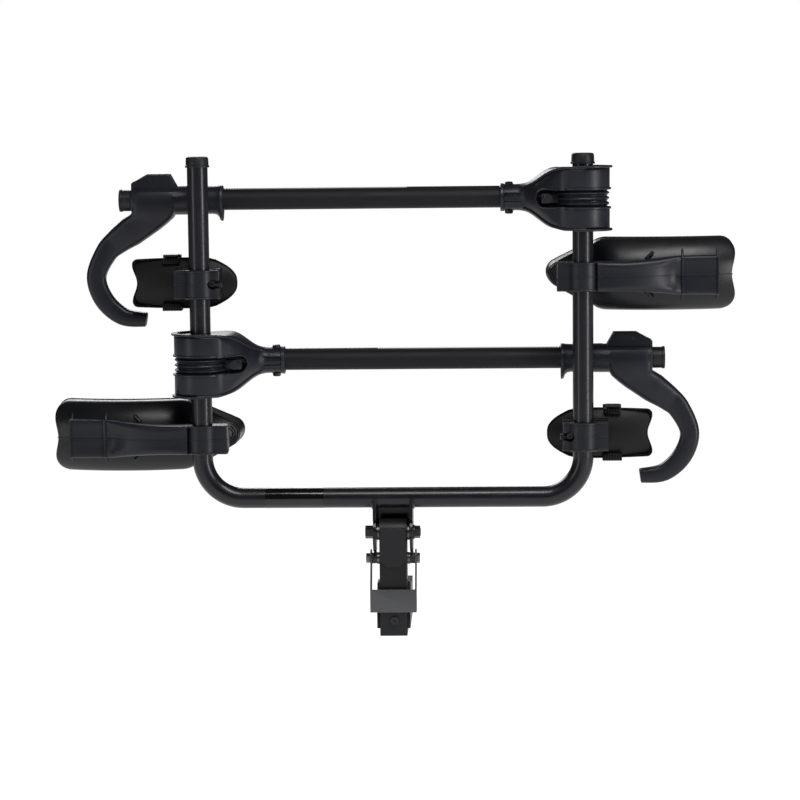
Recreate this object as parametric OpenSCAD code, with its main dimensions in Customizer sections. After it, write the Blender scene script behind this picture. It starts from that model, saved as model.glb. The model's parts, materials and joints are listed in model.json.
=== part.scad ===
// Hitch mounted bike rack: a two-bike platform rack, stowed upright.
// Millimetres. X is across the vehicle, Y points forward to the vehicle and Z is up.
// The origin is the centre of the hitch pin hole, on the axis of the stinger.

/* [Show] */
// The sub-part to draw, or all of them

/* [Hitch] */
// Outside of the square stinger, for a 2 inch receiver
stinger_size = 50.8; // [31.8:0.1:50.8]
// Wall of the stinger and of the upright
stinger_wall = 5; // [3:0.5:7]
// Diameter of the hitch pin hole
pin_hole_d = 16.6; // [13:0.1:17]
// Stinger length in front of the pin hole
stinger_nose = 90; // [60:1:120]
// Distance from the pin hole back to the upright
upright_setback = 215; // [180:1:260]
// Thickness of the gussets beside the upright
gusset_thickness = 5.6; // [3:0.1:8]

/* [Tilt head] */
// Height of the tilt bolt above the stinger axis
tilt_height = 165; // [150:1:180]
// Diameter of the tilt bolt
tilt_bolt_d = 14; // [10:1:16]
// Height of the pedal bolt above the stinger axis
pedal_height = 116; // [110:1:120]
// Diameter of the pedal bolt
pedal_bolt_d = 12; // [8:1:12]
// Radius of the latch sector on the bracket plates
sector_r = 36; // [32:0.5:38]
// Thickness of the bracket plates
plate_thickness = 6; // [4:0.5:8]
// Gap between the upright and a bracket plate
head_gap = 5.6; // [4:0.1:8]
// Thickness of the pedal straps and of the pedal plate
pedal_thickness = 3; // [2:0.5:4]
// Height of the pedal plate
pedal_plate_height = 43; // [30:1:55]

/* [Frame] */
// Distance between the two leg axes
leg_spacing = 704; // [620:1:780]
// Outside diameter of the frame tube
frame_tube_d = 38.1; // [32:0.1:42]
// Wall of the frame tube
frame_wall = 2.6; // [2:0.1:4]
// Height of the bottom bar above the stinger axis
bar_height = 230; // [222:1:250]
// Height of the leg tops above the stinger axis
leg_top = 862; // [840:1:900]
// Centre line radius of the two bends
bend_r = 75; // [60:1:100]
// Height of a leg cap
leg_cap_height = 20; // [14:1:30]

/* [Arms] */
// Height of the upper arm
upper_arm_height = 780; // [770:1:790]
// Height of the lower arm
lower_arm_height = 480; // [470:1:490]
// Distance of the arm axis behind the leg axis
arm_offset = 72; // [70:1:85]
// Outside diameter of the arm tube
arm_tube_d = 38.1; // [32:0.1:40]
// Wall of the arm tube
arm_wall = 2.2; // [1.5:0.1:4]
// Distance from the leg axis to the far end of the arm
arm_length = 858; // [800:1:900]
// Pitch of the ratchet teeth
tooth_pitch = 5; // [4:0.5:8]
// Travel of the ratchet hook
hook_travel = 344; // [250:1:360]
// Radius of the yoke hub
hub_r = 49; // [44:0.5:52]
// Height of the yoke
yoke_height = 118; // [100:1:124]
// Height of the fixed collar between the ears
collar_height = 39; // [30:1:44]

/* [Ratchet hook] */
// Length of the sliding sleeve
sleeve_length = 170; // [140:1:190]
// Radius of the sliding sleeve
sleeve_r = 27; // [25:0.5:28]
// Thickness of the hook
hook_thickness = 28; // [20:1:30]
// Depth of the hook below the arm axis
hook_depth = 236; // [180:1:236]
// Reach of the hook beyond the end of the sleeve
hook_reach = 88; // [60:1:110]
// Diameter of the release lever pin
lever_pin_d = 6; // [4:0.5:8]

/* [Cradles] */
// Height of the upper front wheel cradle
large_upper_height = 637; // [630:1:640]
// Height of the lower front wheel cradle
large_lower_height = 341; // [335:1:345]
// Length of a front wheel cradle outward from the leg axis
large_length = 284; // [220:1:320]
// Width of a front wheel cradle
large_width = 136; // [110:1:140]
// Radius of the tyre bed along a cradle
tyre_bed_r = 372; // [330:1:400]
// Height of the upper rear wheel cradle
small_upper_height = 630; // [625:1:640]
// Height of the lower rear wheel cradle
small_lower_height = 345; // [335:1:350]
// Length of a rear wheel cradle outward from the leg axis
small_length = 130; // [110:1:150]
// Width of a rear wheel cradle
small_width = 95; // [84:1:100]
// Wall of the moulded cradles
tray_wall = 4; // [3:0.5:6]
// Width of the clamps that hold the cradles
clamp_width = 53; // [40:1:60]
// Width of the wheel strap
strap_width = 25; // [18:1:28]

/* [Fits] */
// Radial running clearance of a pin in its bore
running_fit = 0.05; // [0.02:0.01:0.1]
// Free gap between pieces that move past each other
free_gap = 0.4; // [0.3:0.05:1]

/* [Hidden] */
$fn = 96;
soft_black = [0.13, 0.13, 0.14];
tube_black = [0.08, 0.08, 0.09];
plate_grey = [0.30, 0.30, 0.31];
bolt_black = [0.10, 0.10, 0.11];
bolt_facets = 6;

frame_y = -upright_setback;
leg_x = leg_spacing / 2;
frame_r = frame_tube_d / 2;
arm_r = arm_tube_d / 2;
half_stinger = stinger_size / 2;
tilt_bolt_r = tilt_bolt_d / 2;
pedal_bolt_r = pedal_bolt_d / 2;
plate_inner = half_stinger + head_gap;
plate_outer = plate_inner + plate_thickness;
strap_inner = plate_outer + pedal_thickness;
strap_outer = strap_inner + pedal_thickness;

// The back of the upright faces -Y; the pedal hangs in front of that face.
stinger_back = frame_y - half_stinger - 3;
head_r = half_stinger;
web_gap = 4.6;
web_thickness = 6;
web_y = head_r + web_gap;
web_bottom = tilt_height - 12;
plate_top = bar_height;
head_plate_top = tilt_height + 10;
head_plate_bottom = 104;
head_plate_thickness = 4;
head_plate_chamfer = 12;
bush_flange_r = 15;
bush_wall = 3;
latch_gap = 0.8;
notch_width = 12;
notch_depth = 5;
tilt_stops = [0, 90, 125];
pedal_bottom = 20;
pedal_y = -half_stinger - 7.6;
pedal_head_r = 17;
pedal_foot_depth = 22;
pawl_half_width = 5;

cap_lip = 1.2;
cap_lip_height = 4;
cap_roof = 2.5;
band_start = -236;
band_length = 108;
band_thickness = 0.4;

collar_r = hub_r - 0.5;
collar_lip = 3;
collar_ear_reach = 78;
collar_ear_height = 26;
collar_ear_depth = 30;
collar_slit = 3;
collar_bolt_u = 64;
collar_bolt_r = 5;
yoke_gap_r = 87;
yoke_slot_height = 30;
yoke_flat_u = 66;
yoke_neck_u = 98;
socket_end_u = 150;
socket_r = 25;
socket_depth = 40;
yoke_lip = 5;
yoke_lip_height = 4;
yoke_bolt_u = 134;
yoke_bolt_r = 4;
rack_half_width = 7;
rack_height = 2.3;
tooth_depth = 1.5;
arm_cap_length = 22;

sleeve_start = arm_length - arm_cap_length - 1 - sleeve_length;
sleeve_end = sleeve_start + sleeve_length;
teeth_end = sleeve_start - hook_travel;
flange_length = 12;
flange_drop = 39;
cheek_thickness = 5;
lever_half_width = 8;
lever_u = sleeve_end - 36;
lever_w = 37.5;
lever_length = 88;
lever_top = 47.5;

large_bottom_y = 12;
large_depth = 58;
large_arc_r = 80;
large_nose_r = 26;
large_nose_u = -65;
large_full_u = 45;
large_corner_r = 26;
large_notch_r = 58;
large_notch_depth = 7;
large_bed_u = 148;
clamp_outer_r = 31;
clamp_ear_u = 48;
clamp_foot_u = 26;
clamp_split = 1;
spine_end_u = 249;
spine_rib_u = 183;
spine_front = 26;

small_bottom_y = 24;
small_rim_y = 44;
small_arc_r = 70;
small_nose_u = -66;
small_notch_r = 65;
small_notch_depth = 9;
small_corner_r = 10;
small_clamp_outer_u = 46;
strap_u = 55;
strap_thickness = 3;
strap_mid_y = 42;
strap_arc_r = 240;
lug_half_length = 18;
lug_reach = 51.5;
lug_top_y = 53;
buckle_pin_r = 2;
buckle_pin_y = 48.5;
buckle_barrel_r = 4;
buckle_lever_drop = 30;
clamp_bolt_r = 4;
small_bolt_u = -25;
large_bolt_u = -37;

// ---------- helpers ----------

// A flat shape in the X-Z plane, given depth from y0 to y1.
module slab_y(y0, y1) {
  translate([0, y1, 0]) rotate([90, 0, 0]) linear_extrude(y1 - y0) children();
}

// A flat shape in the Y-Z plane, given length from x0 to x1.
module slab_x(x0, x1) {
  translate([x0, 0, 0]) rotate([90, 0, 90]) linear_extrude(x1 - x0) children();
}

module rod_x(x0, x1, r) {
  translate([x0, 0, 0]) rotate([0, 90, 0]) cylinder(h = x1 - x0, r = r);
}

module rod_y(y0, y1, r) {
  translate([0, y0, 0]) rotate([-90, 0, 0]) cylinder(h = y1 - y0, r = r);
}

module rod_z(z0, z1, r) {
  translate([0, 0, z0]) cylinder(h = z1 - z0, r = r);
}

module hex_x(x0, x1, r) {
  translate([x0, 0, 0]) rotate([0, 90, 0]) cylinder(h = x1 - x0, r = r, $fn = bolt_facets);
}

module hex_y(y0, y1, r) {
  translate([0, y0, 0]) rotate([-90, 0, 0]) cylinder(h = y1 - y0, r = r, $fn = bolt_facets);
}

module hex_z(z0, z1, r) {
  translate([0, 0, z0]) cylinder(h = z1 - z0, r = r, $fn = bolt_facets);
}

module block(x0, x1, y0, y1, z0, z1) {
  translate([x0, y0, z0]) cube([x1 - x0, y1 - y0, z1 - z0]);
}

module rounded_rect(x0, x1, z0, z1, r) {
  translate([x0 + r, z0]) square([x1 - x0 - 2 * r, z1 - z0]);
  translate([x0, z0 + r]) square([x1 - x0, z1 - z0 - 2 * r]);
  for (x = [x0 + r, x1 - r], z = [z0 + r, z1 - r]) translate([x, z]) circle(r = r);
}

// A cradle or yoke is drawn on its leg with +X pointing away from the other leg.
// side is 1 for the right leg and -1 for the left leg.
module on_leg(side, height) {
  translate([side * leg_x, frame_y, height]) mirror([side < 0 ? 1 : 0, 0, 0]) children();
}

// An arm is drawn with +X pointing from its leg to the far end, on the axis of the arm.
// The upper arm starts from the right leg and the lower arm from the left leg.
module on_arm(upper) {
  side = upper ? 1 : -1;
  translate([side * leg_x, frame_y, upper ? upper_arm_height : lower_arm_height])
    mirror([upper ? 1 : 0, 0, 0]) children();
}

// ---------- hitch ----------

module square_tube(size, wall, length) {
  difference() {
    translate([-size / 2, -size / 2, 0]) cube([size, size, length]);
    translate([-size / 2 + wall, -size / 2 + wall, -1])
      cube([size - 2 * wall, size - 2 * wall, length + 2]);
  }
}

module stinger() {
  color(tube_black) difference() {
    translate([0, stinger_nose, 0]) rotate([90, 0, 0])
      square_tube(stinger_size, stinger_wall, stinger_nose - stinger_back);
    rod_x(-stinger_size, stinger_size, pin_hole_d / 2);
  }
}

module upright() {
  color(tube_black) translate([0, frame_y, 0]) difference() {
    union() {
      block(-half_stinger, half_stinger, -half_stinger, half_stinger, half_stinger, tilt_height);
      translate([0, 0, tilt_height]) rod_x(-half_stinger, half_stinger, head_r);
    }
    block(-half_stinger + stinger_wall, half_stinger - stinger_wall,
      -half_stinger + stinger_wall, half_stinger - stinger_wall,
      half_stinger - 1, tilt_height - 8);
    translate([0, 0, tilt_height]) rod_x(-stinger_size, stinger_size, tilt_bolt_r + bush_wall);
    translate([0, 0, pedal_height]) rod_x(-stinger_size, stinger_size, pedal_bolt_r);
  }
}

// Two triangles that brace the upright on the stinger.
module gussets() {
  low = -12;
  back = frame_y - half_stinger;
  color(tube_black) for (side = [-1, 1])
    mirror([side < 0 ? 1 : 0, 0, 0]) slab_x(half_stinger, half_stinger + gusset_thickness)
      polygon([[back, low], [frame_y + 110, low], [frame_y + 110, 14],
        [frame_y + half_stinger + 8, 70], [frame_y, 70], [back, 17]]);
}

module head_plate() {
  half = half_stinger - 1;
  color(tube_black) slab_y(frame_y - half_stinger - head_plate_thickness, frame_y - half_stinger)
    polygon([[-half, head_plate_top], [half, head_plate_top],
      [half, head_plate_bottom + head_plate_chamfer],
      [half - head_plate_chamfer, head_plate_bottom],
      [-half + head_plate_chamfer, head_plate_bottom],
      [-half, head_plate_bottom + head_plate_chamfer]]);
}

module stinger_cap() {
  inner = half_stinger - stinger_wall;
  color(soft_black) difference() {
    union() {
      block(-half_stinger + 1, half_stinger - 1, stinger_back - 3, stinger_back,
        -half_stinger + 1, half_stinger - 1);
      block(-inner, inner, stinger_back, stinger_back + 14, -inner, inner);
    }
    translate([2, 0, 4.5]) rod_y(stinger_back - 4, stinger_back + 20, clamp_bolt_r);
  }
}

module cap_bolt() {
  color(bolt_black) translate([2, 0, 4.5]) {
    rod_y(stinger_back - 3, stinger_back + 18, clamp_bolt_r);
    difference() {
      rod_y(stinger_back - 8, stinger_back - 3, 7.5);
      hex_y(stinger_back - 9, stinger_back - 5, 3.5);
    }
  }
}

// A flanged sleeve that fills the gap between the upright and the bracket plates.
module pivot_bush() {
  color(plate_grey) translate([0, frame_y, tilt_height]) difference() {
    union() {
      rod_x(-half_stinger, half_stinger, tilt_bolt_r + bush_wall);
      for (side = [-1, 1]) mirror([side < 0 ? 1 : 0, 0, 0])
        rod_x(half_stinger, plate_inner - free_gap, bush_flange_r);
    }
    rod_x(-stinger_size, stinger_size, tilt_bolt_r + running_fit);
  }
}

module pedal_bolt() {
  color(plate_grey) translate([0, frame_y, pedal_height]) {
    rod_x(-strap_outer - 8, strap_outer + 6, pedal_bolt_r);
    hex_x(-strap_outer - 8, -strap_outer - free_gap, 9.5);
    hex_x(strap_outer + free_gap, strap_outer + 6, 10);
  }
}

// Two straps and the foot plate that joins them.
module pedal() {
  foot_y = pedal_y - pedal_thickness;
  color(plate_grey) translate([0, frame_y, 0]) {
    difference() {
      union() for (side = [-1, 1]) mirror([side < 0 ? 1 : 0, 0, 0]) slab_x(strap_inner, strap_outer) {
        translate([0, pedal_height]) circle(r = pedal_head_r);
        polygon([[pedal_head_r * 0.7, pedal_height - 12], [foot_y + pedal_foot_depth, 50],
          [foot_y + pedal_foot_depth, pedal_bottom + 4], [foot_y + 14, pedal_bottom],
          [foot_y, pedal_bottom], [foot_y, pedal_bottom + pedal_plate_height],
          [-pedal_head_r * 0.8, pedal_height - 10]]);
      }
      translate([0, 0, pedal_height])
        rod_x(-2 * stinger_size, 2 * stinger_size, pedal_bolt_r + running_fit);
    }
    slab_y(foot_y, foot_y + pedal_thickness)
      rounded_rect(-strap_outer, strap_outer, pedal_bottom, pedal_bottom + pedal_plate_height, 3);
  }
}

// The pawls sit under the latch sectors and turn with the pedal.
module pawls() {
  tip = tilt_height - sector_r - latch_gap;
  color(plate_grey) translate([0, frame_y, 0]) for (side = [-1, 1])
    mirror([side < 0 ? 1 : 0, 0, 0]) difference() {
      union() {
        translate([0, 0, pedal_height]) rod_x(plate_inner, strap_inner, 10);
        slab_x(plate_inner, plate_outer)
          polygon([[-10, pedal_height], [10, pedal_height], [pawl_half_width, tip - 2],
            [pawl_half_width - 2, tip], [2 - pawl_half_width, tip], [-pawl_half_width, tip - 2]]);
      }
      translate([0, 0, pedal_height]) rod_x(0, stinger_size, pedal_bolt_r + running_fit);
    }
}

// Torsion springs beside the upright, drawn as closed sleeves.
module pedal_springs() {
  color(plate_grey) translate([0, frame_y, pedal_height]) for (side = [-1, 1])
    mirror([side < 0 ? 1 : 0, 0, 0]) difference() {
      rod_x(half_stinger + free_gap, plate_inner - free_gap, 11);
      rod_x(0, stinger_size, pedal_bolt_r + free_gap);
    }
}

// ---------- frame ----------

module frame_path(r) {
  straight = leg_x - bend_r;
  translate([0, 0, bar_height]) rod_x(-straight, straight, r);
  for (side = [-1, 1]) {
    translate([side * leg_x, 0, bar_height + bend_r]) rod_z(0, leg_top - cap_roof - bar_height - bend_r, r);
    mirror([side < 0 ? 1 : 0, 0, 0]) translate([straight, 0, bar_height + bend_r])
      rotate([90, 0, 0]) rotate([0, 0, -90]) rotate_extrude(angle = 90)
        translate([bend_r, 0]) circle(r = r);
  }
}

module u_frame() {
  color(tube_black) translate([0, frame_y, 0]) difference() {
    frame_path(frame_r);
    frame_path(frame_r - frame_wall);
    for (side = [-1, 1]) translate([side * leg_x, 0, leg_top - cap_roof - 4])
      rod_z(0, 10, frame_r - frame_wall);
  }
}

module leg_cap(side) {
  outer = frame_r + 2;
  color(soft_black) translate([side * leg_x, frame_y, 0]) difference() {
    union() {
      rod_z(leg_top - leg_cap_height, leg_top - 2, outer);
      translate([0, 0, leg_top - 2]) cylinder(h = 2, r1 = outer, r2 = outer - 2);
      rod_z(leg_top - leg_cap_height, leg_top - leg_cap_height + cap_lip_height, outer + cap_lip);
    }
    rod_z(leg_top - leg_cap_height - 1, leg_top - cap_roof, frame_r);
  }
}

module leg_cap_left() { leg_cap(-1); }
module leg_cap_right() { leg_cap(1); }

module bar_band() {
  color(bolt_black) translate([0, frame_y, bar_height]) difference() {
    rod_x(band_start, band_start + band_length, frame_r + band_thickness);
    rod_x(band_start - 1, band_start + band_length + 1, frame_r);
  }
}

// The two plates under the bar, with the latch sectors at their lower ends.
module bracket_plates() {
  half_top = frame_r + 5;
  color(tube_black) translate([0, frame_y, 0]) for (side = [-1, 1])
    mirror([side < 0 ? 1 : 0, 0, 0]) difference() {
      slab_x(plate_inner, plate_outer) difference() {
        union() {
          translate([0, tilt_height]) circle(r = sector_r);
          polygon([[-half_top, plate_top], [web_y + web_thickness, plate_top],
            [web_y + web_thickness, web_bottom], [0, web_bottom], [-sector_r + 3, tilt_height]]);
        }
        for (stop = tilt_stops) translate([0, tilt_height]) rotate(-stop)
          translate([-notch_width / 2, -sector_r - 6]) square([notch_width, notch_depth + 6]);
      }
      translate([0, 0, bar_height]) rod_x(0, 2 * stinger_size, frame_r);
      translate([0, 0, tilt_height]) rod_x(0, 2 * stinger_size, tilt_bolt_r);
    }
}

// The web on the vehicle side, between the bracket plates.
module bracket_web() {
  color(tube_black) translate([0, frame_y, 0]) difference() {
    block(-plate_inner, plate_inner, web_y, web_y + web_thickness, web_bottom, plate_top);
    translate([0, 0, bar_height]) rod_x(-stinger_size, stinger_size, frame_r);
  }
}

// Weld fillets round the bar, outside the bracket plates.
module weld_beads() {
  bead = 3.2;
  color(tube_black) translate([0, frame_y, bar_height]) for (side = [-1, 1])
    mirror([side < 0 ? 1 : 0, 0, 0]) difference() {
      translate([plate_outer, 0, 0]) rotate([0, 90, 0]) rotate([0, 0, -70])
        rotate_extrude(angle = 140) translate([frame_r, 0]) circle(r = bead, $fn = 24);
      rod_x(0, 2 * stinger_size, frame_r);
      block(0, plate_outer, -stinger_size, stinger_size, -stinger_size, stinger_size);
    }
}

module pivot_bolt() {
  color(bolt_black) translate([0, frame_y, tilt_height]) {
    rod_x(-plate_outer - 14, plate_outer + 14, tilt_bolt_r);
    hex_x(-plate_outer - 15, -plate_outer, 12.5);
    hex_x(plate_outer + 2.5, plate_outer + 13, 12);
    rod_x(plate_outer, plate_outer + 2.5, 13.5);
  }
}

// ---------- arms ----------

module collar(upper) {
  half = collar_height / 2;
  color(soft_black) on_arm(upper) difference() {
    union() {
      rod_z(-half, half, collar_r);
      for (z = [-half, half - yoke_lip_height])
        rod_z(z, z + yoke_lip_height, collar_r + collar_lip);
      block(0, collar_ear_reach, -collar_ear_depth / 2, collar_ear_depth / 2,
        -collar_ear_height / 2, collar_ear_height / 2);
    }
    rod_z(-yoke_height, yoke_height, frame_r);
    block(0, yoke_gap_r, -collar_slit / 2, collar_slit / 2, -half - 1, half + 1);
    translate([collar_bolt_u, 0, 0])
      rod_y(-collar_ear_depth, collar_ear_depth, collar_bolt_r + running_fit);
  }
}

module collar_upper() { collar(true); }
module collar_lower() { collar(false); }

module collar_bolts() {
  half = collar_ear_depth / 2;
  color(bolt_black) for (upper = [true, false]) on_arm(upper)
    translate([collar_bolt_u, 0, 0]) {
      rod_y(-half - 1, half + 8, collar_bolt_r);
      rod_y(-half - 8, -half, 8);
      hex_y(half, half + 7, 9);
    }
}

// The room left round the collar, turned about the leg.
module collar_room() {
  half_slot = yoke_slot_height / 2;
  rotate_extrude() {
    translate([0, -collar_height / 2 - free_gap])
      square([collar_r + collar_lip + 1, collar_height + 2 * free_gap]);
    translate([0, -half_slot]) square([yoke_gap_r - half_slot, yoke_slot_height]);
    translate([yoke_gap_r - half_slot, 0]) circle(r = half_slot);
  }
}

module yoke_side_view() {
  half = yoke_height / 2;
  translate([-hub_r - yoke_lip, -half]) square([yoke_flat_u + hub_r + yoke_lip, yoke_height]);
  polygon([[yoke_flat_u - 1, half], [yoke_flat_u, half], [yoke_neck_u - 8, socket_r + 10],
    [yoke_neck_u, socket_r], [yoke_neck_u, -socket_r], [yoke_neck_u - 8, -socket_r - 10],
    [yoke_flat_u, -half], [yoke_flat_u - 1, -half]]);
}

module yoke_plan(grow) {
  circle(r = hub_r + grow);
  polygon([[0, -hub_r - grow], [46, -38 - grow], [yoke_neck_u, arm_offset - 46],
    [yoke_neck_u, arm_offset + socket_r], [50, arm_offset + socket_r], [-34, 36 + grow]]);
}

module yoke(upper) {
  half = yoke_height / 2;
  color(soft_black) on_arm(upper) difference() {
    union() {
      intersection() {
        translate([0, 0, -half]) linear_extrude(yoke_height) yoke_plan(0);
        slab_y(-hub_r - yoke_lip, arm_offset + 2 * socket_r) yoke_side_view();
      }
      intersection() {
        union() for (z = [-half, half - yoke_lip_height])
          translate([0, 0, z]) linear_extrude(yoke_lip_height) yoke_plan(yoke_lip);
        block(-2 * hub_r, yoke_flat_u, -2 * hub_r, 2 * arm_offset, -half, half);
      }
      translate([0, arm_offset, 0]) {
        rod_x(yoke_neck_u - 20, socket_end_u, socket_r);
        rod_x(socket_end_u - 6, socket_end_u, socket_r + 1.5);
      }
    }
    collar_room();
    rod_z(-yoke_height, yoke_height, frame_r + free_gap);
    translate([0, arm_offset, 0]) {
      rod_x(socket_end_u - socket_depth, socket_end_u + 1, arm_r);
      translate([yoke_bolt_u, 0, 0])
        rod_z(-2 * socket_r, 2 * socket_r, yoke_bolt_r + running_fit);
    }
  }
}

module yoke_upper() { yoke(true); }
module yoke_lower() { yoke(false); }

module arm_tube(upper) {
  color(tube_black) on_arm(upper) translate([0, arm_offset, 0]) difference() {
    rod_x(socket_end_u - socket_depth, arm_length - arm_cap_length, arm_r);
    rod_x(0, arm_length, arm_r - arm_wall);
    translate([yoke_bolt_u, 0, 0])
      rod_z(-2 * socket_r, 2 * socket_r, yoke_bolt_r + running_fit);
  }
}

module arm_tube_upper() { arm_tube(true); }
module arm_tube_lower() { arm_tube(false); }

// A strip on top of the arm, toothed over the travel of the hook.
module rack_strip(upper) {
  top = arm_r + rack_height;
  start = arm_length - arm_cap_length - 2;
  count = floor((start - teeth_end) / tooth_pitch);
  teeth = [for (i = [0 : count - 1]) let (x = start - i * tooth_pitch)
    each [[x, top], [x - tooth_pitch * 0.3, top],
      [x - tooth_pitch * 0.45, top - tooth_depth], [x - tooth_pitch * 0.85, top - tooth_depth]]];
  color(tube_black) on_arm(upper) translate([0, arm_offset, 0]) difference() {
    slab_y(-rack_half_width, rack_half_width)
      polygon(concat([[start, 0]], teeth, [[start - count * tooth_pitch, top],
        [socket_end_u + 1, top], [socket_end_u + 1, 0]]));
    rod_x(0, arm_length, arm_r);
  }
}

module rack_strip_upper() { rack_strip(true); }
module rack_strip_lower() { rack_strip(false); }

module arm_cap(upper) {
  start = arm_length - arm_cap_length;
  color(soft_black) on_arm(upper) translate([0, arm_offset, 0]) difference() {
    union() {
      rod_x(start, arm_length, arm_r + 0.6);
      rod_x(arm_length - 5, arm_length, arm_r + 1.8);
      rod_x(start - 18, start, arm_r - arm_wall);
    }
    rod_x(start - 19, start + 8, arm_r - arm_wall - 3);
  }
}

module arm_cap_upper() { arm_cap(true); }
module arm_cap_lower() { arm_cap(false); }

module yoke_bolt(upper) {
  color(bolt_black) on_arm(upper) translate([yoke_bolt_u, arm_offset, 0]) {
    rod_z(-socket_r - 8, socket_r + 4, yoke_bolt_r);
    rod_z(socket_r, socket_r + 8, 7);
    hex_z(-socket_r - 7, -socket_r, 8);
  }
}

module yoke_bolt_upper() { yoke_bolt(true); }
module yoke_bolt_lower() { yoke_bolt(false); }

// ---------- ratchet hooks ----------

// A smooth curve through control points, each a position and a half width.
function curve_point(a, b, c, d, t) = 0.5 * (2 * b + (c - a) * t
  + (2 * a - 5 * b + 4 * c - d) * t * t + (3 * b - a - 3 * c + d) * t * t * t);
function smooth(p, steps) = [for (i = [0 : len(p) - 2], j = [0 : steps - 1])
  curve_point(p[max(i - 1, 0)], p[i], p[i + 1], p[min(i + 2, len(p) - 1)], j / steps),
  p[len(p) - 1]];
function sideways(s, i) = let (a = s[max(i - 1, 0)], b = s[min(i + 1, len(s) - 1)],
  d = [b[0] - a[0], b[1] - a[1]]) [-d[1], d[0]] / norm(d);
function edge(s, i, k) = [s[i][0], s[i][1]] + k * s[i][2] * sideways(s, i);
function ribbon(p, steps) = let (s = smooth(p, steps))
  concat([for (i = [0 : len(s) - 1]) edge(s, i, 1)],
    [for (i = [len(s) - 1 : -1 : 0]) edge(s, i, -1)]);

// The hook bows outward from the sleeve and comes back under the wheel.
// Each row is the distance from the end of the sleeve, the height and the half width.
hook_line = [
  [-48, -hook_depth * 0.034, 40],
  [-12, -hook_depth * 0.195, 30],
  [hook_reach * 0.32, -hook_depth * 0.318, 24],
  [hook_reach * 0.58, -hook_depth * 0.413, 20.5],
  [hook_reach - 18, -hook_depth * 0.60, 18],
  [hook_reach * 0.64, -hook_depth * 0.785, 18],
  [hook_reach * 0.25, -hook_depth * 0.915, 16.5],
  [-21, -hook_depth * 0.942, 14]];

module lever_shape(slim, lift) {
  a = sleeve_end - lever_length;
  polygon([[a + slim, 24], [a + 14 + slim, lever_top + lift], [a + 58, lever_top + lift],
    [sleeve_end - slim, 32 + lift], [sleeve_end - slim, 24]]);
}

module hook(upper) {
  half = hook_thickness / 2;
  bore_r = arm_r + free_gap;
  cheek = lever_half_width + free_gap;
  color(soft_black) on_arm(upper) translate([0, arm_offset, 0]) difference() {
    union() {
      rod_x(sleeve_start, sleeve_end, sleeve_r);
      slab_x(sleeve_start, sleeve_start + flange_length / 2) {
        circle(r = sleeve_r + 1);
        translate([0, -flange_drop + 14]) circle(r = 14);
        translate([-14, -flange_drop + 14]) square([28, 20]);
      }
      translate([sleeve_end, 0, 0]) slab_y(-half, half) polygon(ribbon(hook_line, 5));
      slab_y(-cheek - cheek_thickness, cheek + cheek_thickness) lever_shape(0, 0);
    }
    rod_x(0, arm_length, bore_r);
    rod_x(sleeve_end, arm_length + 1, arm_r + 1.8 + free_gap);
    block(sleeve_start - 1, sleeve_end + 1, -rack_half_width - free_gap,
      rack_half_width + free_gap, 0, arm_r + rack_height + free_gap);
    block(sleeve_end - lever_length - 4, sleeve_end + 1, -cheek, cheek, 0, lever_top + 10);
    translate([lever_u, 0, lever_w])
      rod_y(-2 * sleeve_r, 2 * sleeve_r, lever_pin_d / 2 + running_fit);
  }
}

module hook_upper() { hook(true); }
module hook_lower() { hook(false); }

module lever_pin(upper) {
  reach = lever_half_width + free_gap + cheek_thickness + 1;
  color(bolt_black) on_arm(upper) translate([lever_u, arm_offset, lever_w])
    rod_y(-reach, reach, lever_pin_d / 2);
}

module lever_pin_upper() { lever_pin(true); }
module lever_pin_lower() { lever_pin(false); }

// The release lever; its tooth hangs just clear of the rack.
module lever(upper) {
  tooth_tip = arm_r + rack_height + latch_gap;
  color(soft_black) on_arm(upper) translate([0, arm_offset, 0]) difference() {
    union() {
      slab_y(-lever_half_width, lever_half_width) lever_shape(2, 1.5);
      slab_y(1 - lever_half_width, lever_half_width - 1)
        polygon([[lever_u - 34, 26], [lever_u - 30, tooth_tip], [lever_u - 24, tooth_tip],
          [lever_u - 18, 26]]);
    }
    block(sleeve_end - 24, sleeve_end + 16, -2 * sleeve_r, 2 * sleeve_r, 0, 29);
    translate([lever_u, 0, lever_w])
      rod_y(-2 * sleeve_r, 2 * sleeve_r, lever_pin_d / 2 + running_fit);
  }
}

module lever_upper() { lever(true); }
module lever_lower() { lever(false); }

// ---------- front wheel cradles ----------

// Points on a round corner, from one angle to another.
function round_points(centre, r, from, to, steps) = [for (i = [0 : steps])
  let (a = from + (to - from) * i / steps) centre + r * [cos(a), sin(a)]];

module large_outline(inset) {
  half = large_width / 2 - inset;
  nose = large_nose_r - inset;
  nose_u = large_nose_u + large_nose_r;
  end_u = large_length - inset;
  corner = large_corner_r - inset;
  difference() {
    polygon(concat(
      [[16, 10 - half], [large_full_u, -half]],
      round_points([end_u - corner, corner - half], corner, -90, 0, 6),
      round_points([end_u - corner, half - corner], corner, 0, 90, 6),
      [[large_full_u, half], [16, half - 10]],
      round_points([nose_u, 0], nose, 125, 235, 8)));
    translate([end_u - large_notch_depth + large_notch_r, 0]) circle(r = large_notch_r);
  }
}

// The tyre bed: a trough turned about the wheel axis, which lies beyond the open side.
module large_bed(wall, extra) {
  half = large_width / 2 - wall;
  r = tyre_bed_r - wall;
  translate([large_bed_u, large_bottom_y + tyre_bed_r, 0]) rotate([0, 0, -130])
    rotate_extrude(angle = 80) intersection() {
      translate([tyre_bed_r - large_arc_r, 0]) circle(r = large_arc_r - wall);
      translate([tyre_bed_r - large_depth - extra, -half]) square([large_depth + extra + 10, 2 * half]);
    }
}

module large_bed_solid(inset, extra) {
  intersection() {
    large_bed(inset, extra);
    slab_y(-20, 240) large_outline(inset);
  }
}

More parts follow.
